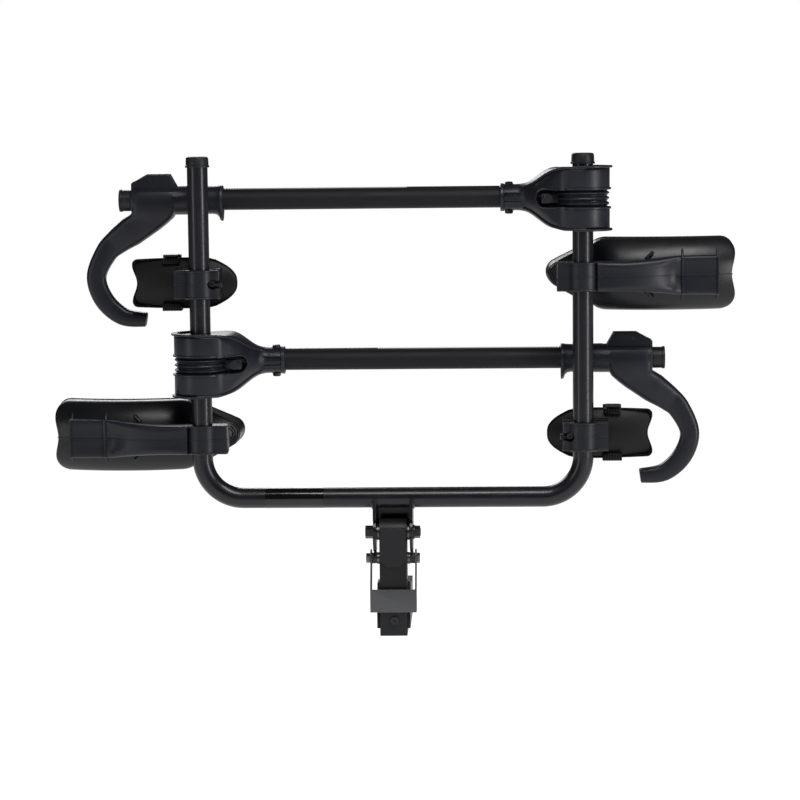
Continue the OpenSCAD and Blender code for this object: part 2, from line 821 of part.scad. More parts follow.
module tray_large(side, height) {
  color(soft_black) on_leg(side, height) difference() {
    large_bed_solid(0, 0);
    large_bed_solid(tray_wall, 10);
  }
}

module tray_large_upper() { tray_large(1, large_upper_height); }
module tray_large_lower() { tray_large(-1, large_lower_height); }

module saddle_outline() {
  half = clamp_width / 2;
  wide = 41.6;
  polygon([[-clamp_ear_u, -half], [74, -half], [110, -half - 5], [141, -39], [spine_rib_u, -wide],
    [spine_end_u, -wide], [spine_end_u, wide], [spine_rib_u, wide], [141, 39], [110, half + 5],
    [74, half], [-clamp_ear_u, half]]);
}

// The arm that carries a front wheel cradle from the clamp on the leg.
module saddle_large(side, height) {
  color(soft_black) on_leg(side, height) difference() {
    intersection() {
      slab_y(-spine_front, 90) saddle_outline();
      translate([0, 0, -large_width / 2]) linear_extrude(large_width)
        polygon([[-clamp_ear_u, clamp_split], [clamp_foot_u, clamp_split],
          [clamp_foot_u, -spine_front], [70, -spine_front], [130, -16], [spine_rib_u - 6, 0],
          [spine_rib_u - 6, -2], [spine_rib_u, -2], [spine_rib_u, 4], [spine_end_u - 6, 5],
          [spine_end_u - 6, 0], [spine_end_u, 0], [spine_end_u, 90], [-12, 90], [-12, 30],
          [-clamp_ear_u, 22]]);
    }
    large_bed(0, 60);
    rod_z(-large_width, large_width, frame_r);
    translate([large_bolt_u, 0, 0]) rod_y(0, 40, clamp_bolt_r + running_fit);
    block(large_bolt_u - 9, large_bolt_u + 9, 24, 40, -9, 9);
    block(clamp_foot_u - 2, 150, -spine_front - 1, -spine_front + 1, -0.8, 0.8);
  }
}

module saddle_large_upper() { saddle_large(1, large_upper_height); }
module saddle_large_lower() { saddle_large(-1, large_lower_height); }

// The half clamp on the outside of the leg, held by one bolt.
module half_clamp(ear_u, foot_u) {
  half = clamp_width / 2;
  difference() {
    union() {
      intersection() {
        rod_z(-half, half, clamp_outer_r);
        block(-clamp_outer_r, min(clamp_outer_r, foot_u), -clamp_outer_r, -clamp_split, -half, half);
      }
      block(-ear_u, foot_u, -18, -clamp_split, -half, half);
    }
    rod_z(-large_width, large_width, frame_r);
    block(-clamp_outer_r - 20, clamp_outer_r, -clamp_outer_r - 1, -clamp_outer_r + 1, -0.8, 0.8);
  }
}

module clamp_large(side, height) {
  color(soft_black) on_leg(side, height) difference() {
    half_clamp(clamp_ear_u, clamp_foot_u - free_gap);
    translate([large_bolt_u, 0, 0]) rod_y(-14, 0, clamp_bolt_r + running_fit);
  }
}

module clamp_large_upper() { clamp_large(1, large_upper_height); }
module clamp_large_lower() { clamp_large(-1, large_lower_height); }

module large_clamp_bolts() {
  color(bolt_black) for (side = [-1, 1])
    on_leg(side, side > 0 ? large_upper_height : large_lower_height)
      translate([large_bolt_u, 0, 0]) {
        rod_y(-13, 30, clamp_bolt_r);
        hex_y(24, 31, 7.5);
      }
}

// ---------- rear wheel cradles ----------

module small_outline(inset) {
  half = small_width / 2 - inset;
  end_u = small_length - inset;
  difference() {
    union() {
      translate([small_nose_u + small_width / 2, 0]) circle(r = half);
      translate([small_nose_u + small_width / 2, -half]) square([60, 2 * half]);
      rounded_rect(small_nose_u + small_width / 2 + 20, end_u, -half, half, small_corner_r - inset);
    }
    translate([end_u - small_notch_depth + small_notch_r, 0]) circle(r = small_notch_r);
  }
}

module small_bed(wall, rim_y) {
  half = small_width / 2 - wall;
  mid_u = (small_length + small_nose_u) / 2;
  intersection() {
    translate([mid_u, small_bottom_y + tyre_bed_r, 0]) rotate([0, 0, -120])
      rotate_extrude(angle = 60) intersection() {
        translate([tyre_bed_r - small_arc_r, 0]) circle(r = small_arc_r - wall);
        translate([tyre_bed_r - 60, -half]) square([70, 2 * half]);
      }
    block(-200, 200, 0, rim_y, -100, 100);
  }
}

module small_bed_solid(inset, rim_y) {
  intersection() {
    small_bed(inset, rim_y);
    slab_y(0, 120) small_outline(inset);
  }
}

// The tray, with the lug that anchors the wheel strap on its lower edge.
module tray_small(side, height) {
  edge_z = small_width / 2;
  color(soft_black) on_leg(side, height) difference() {
    union() {
      difference() {
        small_bed_solid(0, small_rim_y);
        small_bed_solid(tray_wall, small_rim_y + 20);
      }
      block(strap_u - lug_half_length, strap_u + lug_half_length, 30, lug_top_y,
        -lug_reach, -edge_z);
      block(strap_u - lug_half_length, strap_u + lug_half_length, small_rim_y, lug_top_y,
        -edge_z, 8 - edge_z);
    }
    for (i = [0 : 2]) block(strap_u - lug_half_length + 5 + 10 * i,
      strap_u - lug_half_length + 9 + 10 * i, 29, lug_top_y - 3, -lug_reach - 1, 1.5 - lug_reach);
    strap_room();
  }
}

module tray_small_upper() { tray_small(-1, small_upper_height); }
module tray_small_lower() { tray_small(1, small_lower_height); }

module strap_curve(gap, reach) {
  translate([strap_u - strap_width / 2 - gap, 0, 0]) slab_x(0, strap_width + 2 * gap)
    intersection() {
      difference() {
        translate([strap_mid_y + strap_arc_r, 0]) circle(r = strap_arc_r + gap, $fn = 360);
        translate([strap_mid_y + strap_arc_r, 0])
          circle(r = strap_arc_r - strap_thickness - gap, $fn = 360);
      }
      translate([0, -reach]) square([100, 2 * reach]);
    }
}

module strap_room() {
  strap_curve(free_gap, small_width / 2 - 2);
}

// The wheel strap, lying slack in the tray.
module strap(side, height) {
  color(bolt_black) on_leg(side, height) strap_curve(0, small_width / 2 - buckle_barrel_r - 2 * free_gap);
}

module strap_upper() { strap(-1, small_upper_height); }
module strap_lower() { strap(1, small_lower_height); }

module saddle_small(side, height) {
  half = clamp_width / 2;
  color(soft_black) on_leg(side, height) difference() {
    union() {
      intersection() {
        rod_z(-half, half, clamp_outer_r);
        block(-clamp_outer_r, clamp_outer_r, clamp_split, clamp_outer_r, -half, half);
      }
      block(-38, small_clamp_outer_u, clamp_split, 38, -half, half);
    }
    small_bed(0, 100);
    rod_z(-large_width, large_width, frame_r);
    translate([small_bolt_u, 0, 0]) rod_y(0, 60, clamp_bolt_r + running_fit);
  }
}

module saddle_small_upper() { saddle_small(-1, small_upper_height); }
module saddle_small_lower() { saddle_small(1, small_lower_height); }

module clamp_small(side, height) {
  color(soft_black) on_leg(side, height) difference() {
    half_clamp(38, small_clamp_outer_u);
    translate([small_bolt_u - 4, 0, 0]) rod_y(-clamp_outer_r - 1, -11, 10);
    block(-60, small_bolt_u - 4, -clamp_outer_r - 1, -11, -7, 7);
    translate([small_bolt_u, 0, 0]) rod_y(-14, 0, clamp_bolt_r + running_fit);
  }
}

module clamp_small_upper() { clamp_small(-1, small_upper_height); }
module clamp_small_lower() { clamp_small(1, small_lower_height); }

module small_clamp_bolts() {
  color(bolt_black) for (side = [-1, 1])
    on_leg(side, side < 0 ? small_upper_height : small_lower_height)
      translate([small_bolt_u, 0, 0]) {
        rod_y(-14, 20, clamp_bolt_r);
        difference() {
          rod_y(-19, -11, 5.6);
          hex_y(-20, -15, 3.5);
        }
      }
}

module buckle_base(side, height) {
  edge_z = small_width / 2;
  ear = 4;
  inner = strap_width / 2 + free_gap;
  color(soft_black) on_leg(side, height) difference() {
    union() {
      block(strap_u - inner - ear, strap_u + inner + ear, small_rim_y, lug_top_y,
        edge_z - 10, edge_z - buckle_barrel_r - free_gap);
      for (u = [strap_u - inner - ear, strap_u + inner])
        block(u, u + ear, small_rim_y, lug_top_y, edge_z - 10, edge_z + 3);
      translate([strap_u, buckle_pin_y, edge_z])
        rod_x(-inner - ear, inner + ear, buckle_pin_r);
    }
    strap_room();
  }
}

module buckle_base_upper() { buckle_base(-1, small_upper_height); }
module buckle_base_lower() { buckle_base(1, small_lower_height); }

module buckle_lever(side, height) {
  edge_z = small_width / 2;
  half = strap_width / 2;
  color(bolt_black) on_leg(side, height) difference() {
    slab_x(strap_u - half, strap_u + half) {
      translate([buckle_pin_y, edge_z]) circle(r = buckle_barrel_r);
      translate([buckle_pin_y - buckle_lever_drop, edge_z + 1])
        square([buckle_lever_drop, buckle_barrel_r - 1]);
    }
    translate([strap_u, buckle_pin_y, edge_z])
      rod_x(-strap_width, strap_width, buckle_pin_r + running_fit);
  }
}

module buckle_lever_upper() { buckle_lever(-1, small_upper_height); }
module buckle_lever_lower() { buckle_lever(1, small_lower_height); }

// ---------- assembly ----------

stinger();
upright();
gussets();
head_plate();
stinger_cap();
cap_bolt();
pivot_bush();
pedal_bolt();
pedal();
pawls();
pedal_springs();
u_frame();
leg_cap_left();
leg_cap_right();
bar_band();
bracket_plates();
bracket_web();
weld_beads();
pivot_bolt();
collar_upper();
collar_lower();
collar_bolts();
tray_large_upper();
tray_large_lower();
saddle_large_upper();
saddle_large_lower();
clamp_large_upper();
clamp_large_lower();
large_clamp_bolts();
tray_small_upper();
tray_small_lower();
saddle_small_upper();
saddle_small_lower();
clamp_small_upper();
clamp_small_lower();
small_clamp_bolts();
strap_upper();
strap_lower();
buckle_base_upper();
buckle_base_lower();
buckle_lever_upper();
buckle_lever_lower();
yoke_upper();
yoke_lower();
arm_tube_upper();
arm_tube_lower();
rack_strip_upper();
rack_strip_lower();
arm_cap_upper();
arm_cap_lower();
yoke_bolt_upper();
yoke_bolt_lower();
hook_upper();
hook_lower();
lever_pin_upper();
lever_pin_lower();
lever_upper();
lever_lower();
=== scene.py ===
# %% [markdown]
# # A hitch mounted bike rack
# The rack stands folded up behind the vehicle. A bent tube frame carries two wheel
# cradles on each side and two swinging arms with ratchet hooks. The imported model
# gives the frame, the bodies and the sizes. This script dresses it: moulded pieces
# are modelled again with soft edges, and every surface gets a procedural finish.

# %% Load the frame
import json
import math

import bmesh
import bpy
from mathutils import Euler, Matrix, Vector


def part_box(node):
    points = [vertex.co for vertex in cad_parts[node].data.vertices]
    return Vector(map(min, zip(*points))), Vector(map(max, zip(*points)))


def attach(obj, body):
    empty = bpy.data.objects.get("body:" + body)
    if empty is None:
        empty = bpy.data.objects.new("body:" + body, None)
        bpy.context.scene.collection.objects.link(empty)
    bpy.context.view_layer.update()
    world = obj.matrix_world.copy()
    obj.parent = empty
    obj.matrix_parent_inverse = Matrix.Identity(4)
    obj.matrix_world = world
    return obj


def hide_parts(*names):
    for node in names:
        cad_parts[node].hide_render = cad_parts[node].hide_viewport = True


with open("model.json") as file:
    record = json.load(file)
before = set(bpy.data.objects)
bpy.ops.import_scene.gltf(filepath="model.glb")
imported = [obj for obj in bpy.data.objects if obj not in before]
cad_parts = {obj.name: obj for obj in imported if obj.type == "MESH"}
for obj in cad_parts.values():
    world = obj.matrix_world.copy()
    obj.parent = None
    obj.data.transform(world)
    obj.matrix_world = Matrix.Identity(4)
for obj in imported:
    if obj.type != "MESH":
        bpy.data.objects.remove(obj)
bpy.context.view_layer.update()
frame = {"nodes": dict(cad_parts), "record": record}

MM = 0.001
NODES = frame["nodes"]

# %% [markdown]
# The legs and arms set every other place, so their axes are read from the boxes of
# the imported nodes. A cradle is modelled once at its leg, then copied to the other leg.

# %% Read the main axes
def centre(node):
    low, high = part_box(node)
    return (low + high) / 2


def size(node):
    low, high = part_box(node)
    return high - low


LEG_RIGHT = centre("leg_cap_right")
FRAME_Y = LEG_RIGHT.y
TUBE_R = size("u_frame").y / 2
ARM_Y = centre("arm_tube_upper").y
ARM_UPPER_Z = centre("arm_tube_upper").z
ARM_LOWER_Z = centre("arm_tube_lower").z
CRADLE_Z = {name: centre(name).z for name in (
    "tray_large_upper", "tray_large_lower", "tray_small_upper", "tray_small_lower")}
print("leg axis", round(LEG_RIGHT.x, 4), "tube radius", round(TUBE_R, 4))

# %% [markdown]
# ## Finishes
# Nearly everything on the rack is black, but not the same black. Powder coated steel
# is smooth with a faint orange peel, and the glass filled nylon mouldings are dustier
# and greyer. The small steel parts are zinc plated or black oxide. One function turns
# the sRGB hex of a finish to linear, and one adds a node with its settings and links.

# %% Colour and node helpers
def linear(hex_colour):
    channels = [int(hex_colour[i:i + 2], 16) / 255 for i in (1, 3, 5)]
    return [c / 12.92 if c <= 0.04045 else ((c + 0.055) / 1.055) ** 2.4
            for c in channels] + [1.0]


def add_node(tree, kind, settings=None, values=None, links=None):
    node = tree.nodes.new(kind)
    for key, value in (settings or {}).items():
        setattr(node, key, value)
    for key, value in (values or {}).items():
        node.inputs[key].default_value = value
    for key, source in (links or {}).items():
        tree.links.new(source, node.inputs[key])
    return node


def grains_per_metre(millimetres):
    return 1000 / millimetres


# %% [markdown]
# A finish is one shader with three things laid on it: a slow change of tone from
# handling and dust, a fine grain that shows as bump, and a paler wear on the edges.
# Each scale starts from a real size in millimetres.

# %% One finish
CLOUD_MM = 60.0  # slow change of tone over a surface


def finish(name, dark, light, rough, grain_mm, bump_mm, metallic=0.0, coat=0.0,
           wear="#000000", wear_amount=0.0, sheen=0.26):
    material = bpy.data.materials.new(name)
    material.use_nodes = True
    tree = material.node_tree
    shader = tree.nodes["Principled BSDF"]
    shader.inputs["Metallic"].default_value = metallic
    shader.inputs["Coat Weight"].default_value = coat
    shader.inputs["Coat Roughness"].default_value = 0.12
    if not metallic:
        shader.inputs["Specular IOR Level"].default_value = sheen
    place = add_node(tree, "ShaderNodeTexCoord").outputs["Object"]
    cloud = add_node(tree, "ShaderNodeTexNoise", values={
        "Scale": grains_per_metre(CLOUD_MM), "Detail": 4.0, "Roughness": 0.6},
        links={"Vector": place})
    grain = add_node(tree, "ShaderNodeTexNoise", values={
        "Scale": grains_per_metre(grain_mm), "Detail": 3.0, "Roughness": 0.55},
        links={"Vector": place})
    tone = add_node(tree, "ShaderNodeMix", {"data_type": "RGBA"},
                    {6: linear(dark), 7: linear(light)}, {0: cloud.outputs["Fac"]})
    colour = tone.outputs[2]
    if wear_amount:
        edge = add_node(tree, "ShaderNodeNewGeometry").outputs["Pointiness"]
        ramp = add_node(tree, "ShaderNodeMapRange", values={
            "From Min": 0.52, "From Max": 0.60, "To Max": wear_amount},
            links={"Value": edge})
        colour = add_node(tree, "ShaderNodeMix", {"data_type": "RGBA"},
                          {7: linear(wear)},
                          {0: ramp.outputs[0], 6: colour}).outputs[2]
    tree.links.new(colour, shader.inputs["Base Color"])
    spread = add_node(tree, "ShaderNodeMapRange", values={
        "From Min": 0.3, "From Max": 0.7, "To Min": rough - 0.05, "To Max": rough + 0.07},
        links={"Value": cloud.outputs["Fac"]})
    tree.links.new(spread.outputs[0], shader.inputs["Roughness"])
    relief = add_node(tree, "ShaderNodeBump", values={
        "Strength": 0.35, "Distance": bump_mm * MM},
        links={"Height": grain.outputs["Fac"]})
    tree.links.new(relief.outputs["Normal"], shader.inputs["Normal"])
    return material


# %% [markdown]
# Powder coat flows into a skin with an orange peel of about 2 mm. Nylon moulded in a
# spark eroded tool has a grain near 0.4 mm, drawn at 0.9 mm here so that it shows.

# %% The finishes of this rack
FRAME_COAT = finish("satin_powder_coat_steel", "#0b0b10", "#101117", 0.35, 2.0, 0.05,
                    coat=0.2, wear="#2c2d31", wear_amount=0.2)
HITCH_COAT = finish("hitch_powder_coat_steel", "#0a0a0b", "#0f0f11", 0.42, 1.6, 0.07,
                    wear="#36373a", wear_amount=0.25)
NYLON = finish("glass_filled_nylon", "#101117", "#171820", 0.38, 0.9, 0.08,
               wear="#34363c", wear_amount=0.3)
TRAY_NYLON = finish("moulded_tray_nylon", "#0c0c0f", "#121316", 0.33, 1.1, 0.07,
                    wear="#2e3034", wear_amount=0.3)
CAP_PLASTIC = finish("end_cap_polyethylene", "#111215", "#18191c", 0.45, 0.9, 0.06)
PEDAL_STEEL = finish("grey_coated_pedal_steel", "#323235", "#3b3b3e", 0.46, 1.2, 0.06,
                     wear="#66676a", wear_amount=0.4)
ZINC = finish("zinc_plated_steel", "#55575a", "#737578", 0.36, 0.8, 0.03, metallic=1.0)
BLACK_OXIDE = finish("black_oxide_steel", "#121214", "#1c1c1f", 0.34, 0.9, 0.03,
                     metallic=0.4, wear="#45464a", wear_amount=0.3)
GLOSS_BAND = finish("gloss_vinyl_band", "#040406", "#08080a", 0.14, 3.0, 0.01, coat=0.4)
ARM_COAT = finish("matt_powder_coat_steel", "#0b0b0f", "#111115", 0.58, 1.6, 0.06, sheen=0.2)
# a darker, matter copy of the tray nylon for the small cradles and saddles: its darker colour is
# painted shade
SHADE_DARKENED_NYLON = finish("matt_nylon_painted_shade", "#060607", "#0a0a0c", 0.5, 1.1, 0.07, sheen=0.2)
STRAP_RUBBER = finish("strap_elastomer", "#0e0e10", "#151517", 0.55, 0.9, 0.06)

SLOT_FINISH = {
    "hitch_coat": HITCH_COAT, "frame_coat": FRAME_COAT, "pedal_steel": PEDAL_STEEL,
    "zinc_steel": ZINC, "black_bolt": BLACK_OXIDE, "gloss_band": GLOSS_BAND,
    "end_caps": CAP_PLASTIC, "strap_rubber": STRAP_RUBBER, "moulded_nylon": NYLON}
SLOT_OF = {row["node"]: row["material_slot"] for row in frame["record"]["subparts"]}
BODY_OF = {node: body for body, nodes in frame["record"]["behaviour"]["bodies"].items()
           for node in nodes}
print("finishes", len(SLOT_FINISH) + 3)


# %% [markdown]
# The tray nodes have a glossier nylon than the yokes. The small cradles and their saddles
# get a darker, matter copy of the tray nylon: painted shade, as they sit in less light. Every
# node that stays from the imported model gets its finish now, and a piece modelled later
# replaces its node.

# %% Paint the imported nodes
def node_finish(node):
    # the small trays and saddles take the darker copy of the tray nylon, which is painted shade
    for start, material in (("tray_small", SHADE_DARKENED_NYLON), ("saddle_small", SHADE_DARKENED_NYLON),
                            ("tray", TRAY_NYLON),
                            ("arm_tube", ARM_COAT)):
        if node.startswith(start):
            return material
    return SLOT_FINISH[SLOT_OF[node]]


for node, obj in NODES.items():
    obj.data.materials.clear()
    obj.data.materials.append(node_finish(node))
print("painted", len(NODES), "nodes")

# %% [markdown]
# ## Modelling helpers
# An operator acts on everything that is selected, so the first helper clears the
# selection. A finished piece has its place in its mesh, points its faces outward,
# is smooth except at edges, and rides on the body of the node that it replaces.

# %% Selection and finishing helpers
SMOOTH_ANGLE = math.radians(32)


def deselect():
    bpy.ops.object.select_all(action="DESELECT")


def take(obj):
    deselect()
    obj.select_set(True)
    bpy.context.view_layer.objects.active = obj
    return obj


def modify(obj, kind, **settings):
    take(obj)
    modifier = obj.modifiers.new(kind.title(), kind)
    for key, value in settings.items():
        setattr(modifier, key, value)
    bpy.ops.object.modifier_apply(modifier=modifier.name)
    return obj


def face_outward(obj):
    take(obj)
    bpy.ops.object.mode_set(mode="EDIT")
    bpy.ops.mesh.select_all(action="SELECT")
    bpy.ops.mesh.remove_doubles(threshold=0.02 * MM)
    bpy.ops.mesh.normals_make_consistent(inside=False)
    bpy.ops.object.mode_set(mode="OBJECT")
    return obj


def set_place(obj):
    take(obj)
    bpy.ops.object.transform_apply(location=True, rotation=True, scale=True)
    return obj


def finish_piece(obj, name, node, material=None):
    set_place(obj)
    bpy.ops.object.shade_smooth_by_angle(angle=SMOOTH_ANGLE)
    obj.name = name
    obj.data.materials.clear()
    obj.data.materials.append(material or node_finish(node))
    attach(obj, BODY_OF[node])
    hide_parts(node)
    print(name, "faces", len(obj.data.polygons))
    return obj


# %% [markdown]
# A machined or moulded piece has no knife edges. Where a node's shape is right, a copy
# of it is merged, its flat triangles are dissolved into faces, and its edges are
# rounded with a bevel. The node itself is left alone and hidden.

# %% Rounded copies of nodes
FLAT_ANGLE = math.radians(0.8)
EDGE_ANGLE = math.radians(30)


def rounded_copy(node, radius_mm, segments=2):
    source = NODES[node]
    piece = bpy.data.objects.new(node + "_piece", source.data.copy())
    bpy.context.scene.collection.objects.link(piece)
    take(piece)
    bpy.ops.object.mode_set(mode="EDIT")
    bpy.ops.mesh.select_all(action="SELECT")
    bpy.ops.mesh.remove_doubles(threshold=0.01 * MM)
    bpy.ops.mesh.dissolve_limited(angle_limit=FLAT_ANGLE)
    bpy.ops.object.mode_set(mode="OBJECT")
    modify(piece, "BEVEL", width=radius_mm * MM, segments=segments,
           limit_method="ANGLE", angle_limit=EDGE_ANGLE, use_clamp_overlap=True)
    finish_piece(piece, node + "_piece", node)
    return modify(piece, "WEIGHTED_NORMAL", keep_sharp=True, weight=80)


ROUNDED = {
    "saddle_small_upper": 1.6, "saddle_small_lower": 1.6,
    "stinger": 1.8, "upright": 1.8, "gussets": 0.9, "head_plate": 0.9,
    "stinger_cap": 1.0, "cap_bolt": 0.5, "pedal": 0.7, "pawls": 0.5, "pedal_bolt": 0.6,
    "pivot_bolt": 0.8, "pivot_bush": 0.5, "bracket_plates": 0.8, "bracket_web": 0.8,
    "collar_bolts": 0.6, "large_clamp_bolts": 0.6, "small_clamp_bolts": 0.5,
    "lever_pin_upper": 0.4, "lever_pin_lower": 0.4, "lever_upper": 1.0, "lever_lower": 1.0,
    "buckle_base_upper": 0.5, "buckle_base_lower": 0.5, "buckle_lever_upper": 0.7,
    "buckle_lever_lower": 0.7, "arm_cap_upper": 1.0, "arm_cap_lower": 1.0}
for node, radius in ROUNDED.items():
    rounded_copy(node, radius)

# %% [markdown]
# A lofted piece is made as by hand: a filled circle is the first section, and each
# further section is extruded from the last and set to its own outline.

# %% Loft by extruding sections
def loft(sections, closed_ends=True):
    deselect()
    bpy.ops.mesh.primitive_circle_add(vertices=len(sections[0]), radius=0.01,
                                      fill_type="NGON" if closed_ends else "NOTHING")
    obj = bpy.context.object
    for vertex, place in zip(obj.data.vertices, sections[0]):
        vertex.co = place
    row = {i: i for i in range(len(sections[0]))}
    bpy.ops.object.mode_set(mode="EDIT")
    bpy.ops.mesh.select_mode(type="FACE" if closed_ends else "VERT")
    bpy.ops.mesh.select_all(action="SELECT")
    for section in sections[1:]:
        if closed_ends:
            bpy.ops.mesh.extrude_region_move()
        else:
            bpy.ops.mesh.extrude_edges_move()
        mesh = bmesh.from_edit_mesh(obj.data)
        mesh.verts.index_update()
        next_row = {}
        for vertex in [v for v in mesh.verts if v.select]:
            below = [e.other_vert(vertex) for e in vertex.link_edges]
            below = [v.index for v in below if not v.select]
            spot = row.get(below[0], row.get(vertex.index))
            vertex.co = section[spot]
            next_row[vertex.index] = spot
        row = next_row
        bmesh.update_edit_mesh(obj.data)
    bpy.ops.object.mode_set(mode="OBJECT")
    return face_outward(obj)


def circle_section(middle, across, up, radius, count=40):
    return [middle + radius * (math.cos(a) * across + math.sin(a) * up)
            for a in (2 * math.pi * i / count for i in range(count))]


X, Y, Z = Vector((1, 0, 0)), Vector((0, 1, 0)), Vector((0, 0, 1))

# %% [markdown]
# ## The frame tube
# The real frame is one tube bent twice. The path goes down the left leg, round both
# bends and up the right leg, and the outline stays a circle all the way.

# %% Frame tube
BAR_Z = centre("bar_band").z
BEND_R = 75 * MM
BEND_STEPS = 18
LEG_TOP_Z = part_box("leg_cap_left")[1].z - 3 * MM


def frame_stations():
    inner = LEG_RIGHT.x - BEND_R
    yield Vector((-LEG_RIGHT.x, FRAME_Y, LEG_TOP_Z)), X
    for i in range(BEND_STEPS + 1):
        a = math.pi / 2 * i / BEND_STEPS
        yield (Vector((-inner - BEND_R * math.cos(a), FRAME_Y,
                       BAR_Z + BEND_R - BEND_R * math.sin(a))),
               Vector((math.cos(a), 0, math.sin(a))))
    for i in range(BEND_STEPS + 1):
        a = math.pi / 2 * (1 - i / BEND_STEPS)
        yield (Vector((inner + BEND_R * math.cos(a), FRAME_Y,
                       BAR_Z + BEND_R - BEND_R * math.sin(a))),
               Vector((-math.cos(a), 0, math.sin(a))))
    yield Vector((LEG_RIGHT.x, FRAME_Y, LEG_TOP_Z)), -X


frame_tube = loft([circle_section(place, inward, Y, TUBE_R, 56)
                   for place, inward in frame_stations()])
finish_piece(frame_tube, "frame_tube", "u_frame")

# %% [markdown]
# ## Leg caps
# Each cap is a cup pushed over the tube, with a lip at its mouth and a soft crown.
# A cylinder is inset and raised for the crown and grown for the lip.

# %% Leg caps
CAP_RINGS = ((0.0, 1.055), (0.17, 1.06), (0.21, 1.0), (0.80, 0.985), (0.93, 0.93),
             (0.985, 0.83), (1.0, 0.66))


def leg_cap(node, name):
    low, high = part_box(node)
    middle, height = (low + high) / 2, high.z - low.z
    radius = TUBE_R + 2 * MM
    cap = loft([circle_section(Vector((middle.x, middle.y, low.z + height * rise)),
                               X, Y, radius * grow, 48) for rise, grow in CAP_RINGS])
    return finish_piece(cap, name, node)


leg_cap("leg_cap_left", "leg_cap_left_moulding")
leg_cap("leg_cap_right", "leg_cap_right_moulding")

# %% [markdown]
# ## Wheel cradles
# A cradle is a scoop with a rolled rim, moulded in one piece. It is lofted in rings
# that all follow its outline. The first ring lies on the spine of the inside. The rings
# spread up the inside wall, turn over the rim and shrink again to the spine behind.

# %% Scoop of rings
BED_R, TRAY_WALL, RIM_LIP = 372 * MM, 4 * MM, 1.8 * MM
BED_SHARES = (0.0, 0.14, 0.28, 0.42, 0.56, 0.69, 0.80, 0.89, 0.955)


def arc(u, z, radius, start, end, steps):
    return [(u + radius * math.cos(math.radians(a)), z + radius * math.sin(math.radians(a)))
            for a in (start + (end - start) * i / steps for i in range(steps + 1))]


def line(start, end, steps):
    return [(start[0] + (end[0] - start[0]) * i / steps,
             start[1] + (end[1] - start[1]) * i / steps) for i in range(1, steps)]


def mirrored(half_outline):
    """The upper half runs from the nose to the end; the lower half comes back."""
    back = [(u, -z) for u, z in reversed(half_outline) if abs(z) > 1e-9]
    return half_outline + back


def scoop(outline, spine_u, bed, rim):
    spots = []
    for u, z in outline:
        foot = min(max(u, spine_u[0]), spine_u[1])
        spots.append((foot, u - foot, z, math.hypot(u - foot, z)))

    def ring(share, grow, level):
        points = []
        for foot, du, dz, reach in spots:
            scale = share * (1 + grow / reach)
            u, z = foot + du * scale, dz * scale
            points.append(Vector((u, level(u, z), z)))
        return points

    inside = [ring(s, -TRAY_WALL, lambda u, z: bed(u, z) + TRAY_WALL) for s in BED_SHARES]
    inside += [ring(0.985, -TRAY_WALL, lambda u, z: bed(u, z) + TRAY_WALL + 1.5 * MM),
               ring(1, -TRAY_WALL, lambda u, z: bed(u, z) + TRAY_WALL + 5 * MM),
               ring(1, -TRAY_WALL, lambda u, z: rim(u, z) - 1 * MM)]
    edge = [ring(1, -TRAY_WALL + 1 * MM, rim), ring(1, RIM_LIP - 1 * MM, rim),
            ring(1, RIM_LIP, lambda u, z: rim(u, z) - 1 * MM),
            ring(1, RIM_LIP, lambda u, z: rim(u, z) - 3.5 * MM),
            ring(1, 0.3 * MM, lambda u, z: rim(u, z) - 5 * MM)]
    outside = [ring(s, 0, bed) for s in reversed(BED_SHARES)]
    outside = [ring(1, 0, lambda u, z: bed(u, z) + 5 * MM),
               ring(0.988, 0, lambda u, z: bed(u, z) + 1.2 * MM)] + outside
    return loft(inside + edge + outside, closed_ends=False)


# %% Ribs, copies and places
def rib(points, width, height, bed, sink=1.5 * MM):
    """A rounded rib along (u, z) points, standing on the back of the bed."""
    sections = []
    for i, (u, z) in enumerate(points):
        before, after = points[max(i - 1, 0)], points[min(i + 1, len(points) - 1)]
        along = Vector((after[0] - before[0], 0, after[1] - before[1])).normalized()
        side = along.cross(Y)
        base = Vector((u, bed(u, z) + sink, z))
        ends = min(1.0, 0.3 + 1.6 * math.sin(math.pi * i / (len(points) - 1)))
        top = height * ends + sink
        sections.append([base + side * width * f - Y * top * h for f, h in (
            (0.6, 0), (0.5, 0.6), (0.38, 0.9), (0.15, 1), (-0.15, 1), (-0.38, 0.9),
            (-0.5, 0.6), (-0.6, 0))])
    return loft(sections)


def join(main, *others):
    deselect()
    for other in others:
        other.select_set(True)
    main.select_set(True)
    bpy.context.view_layer.objects.active = main
    bpy.ops.object.join()
    return main


def copy_of(obj):
    twin = bpy.data.objects.new(obj.name + "_twin", obj.data.copy())
    bpy.context.scene.collection.objects.link(twin)
    return twin


def mirror_to(obj, side, x, y, z):
    """Puts a piece drawn in its own frame in place; side -1 gives its mirror image."""
    obj.matrix_world = Matrix.Translation((x, y, z)) @ Matrix.Diagonal((side, 1, 1, 1))
    set_place(obj)
    if side < 0:
        bpy.ops.object.mode_set(mode="EDIT")
        bpy.ops.mesh.select_all(action="SELECT")
        bpy.ops.mesh.flip_normals()
        bpy.ops.object.mode_set(mode="OBJECT")
    return obj


def on_leg(obj, side, height):
    return mirror_to(obj, side, side * LEG_RIGHT.x, FRAME_Y, height)


def on_arm(obj, upper):
    side = -1 if upper else 1
    return mirror_to(obj, side, -side * LEG_RIGHT.x, ARM_Y,
                     ARM_UPPER_Z if upper else ARM_LOWER_Z)


def block(u0, u1, y0, y1, z0, z1, radius=1.0):
    """A rounded block between two corners, in millimetres."""
    deselect()
    bpy.ops.mesh.primitive_cube_add(
        size=1, location=[(a + b) / 2 * MM for a, b in ((u0, u1), (y0, y1), (z0, z1))])
    obj = bpy.context.object
    obj.scale = [(b - a) * MM for a, b in ((u0, u1), (y0, y1), (z0, z1))]
    set_place(obj)
    return modify(obj, "BEVEL", width=radius * MM, segments=2)


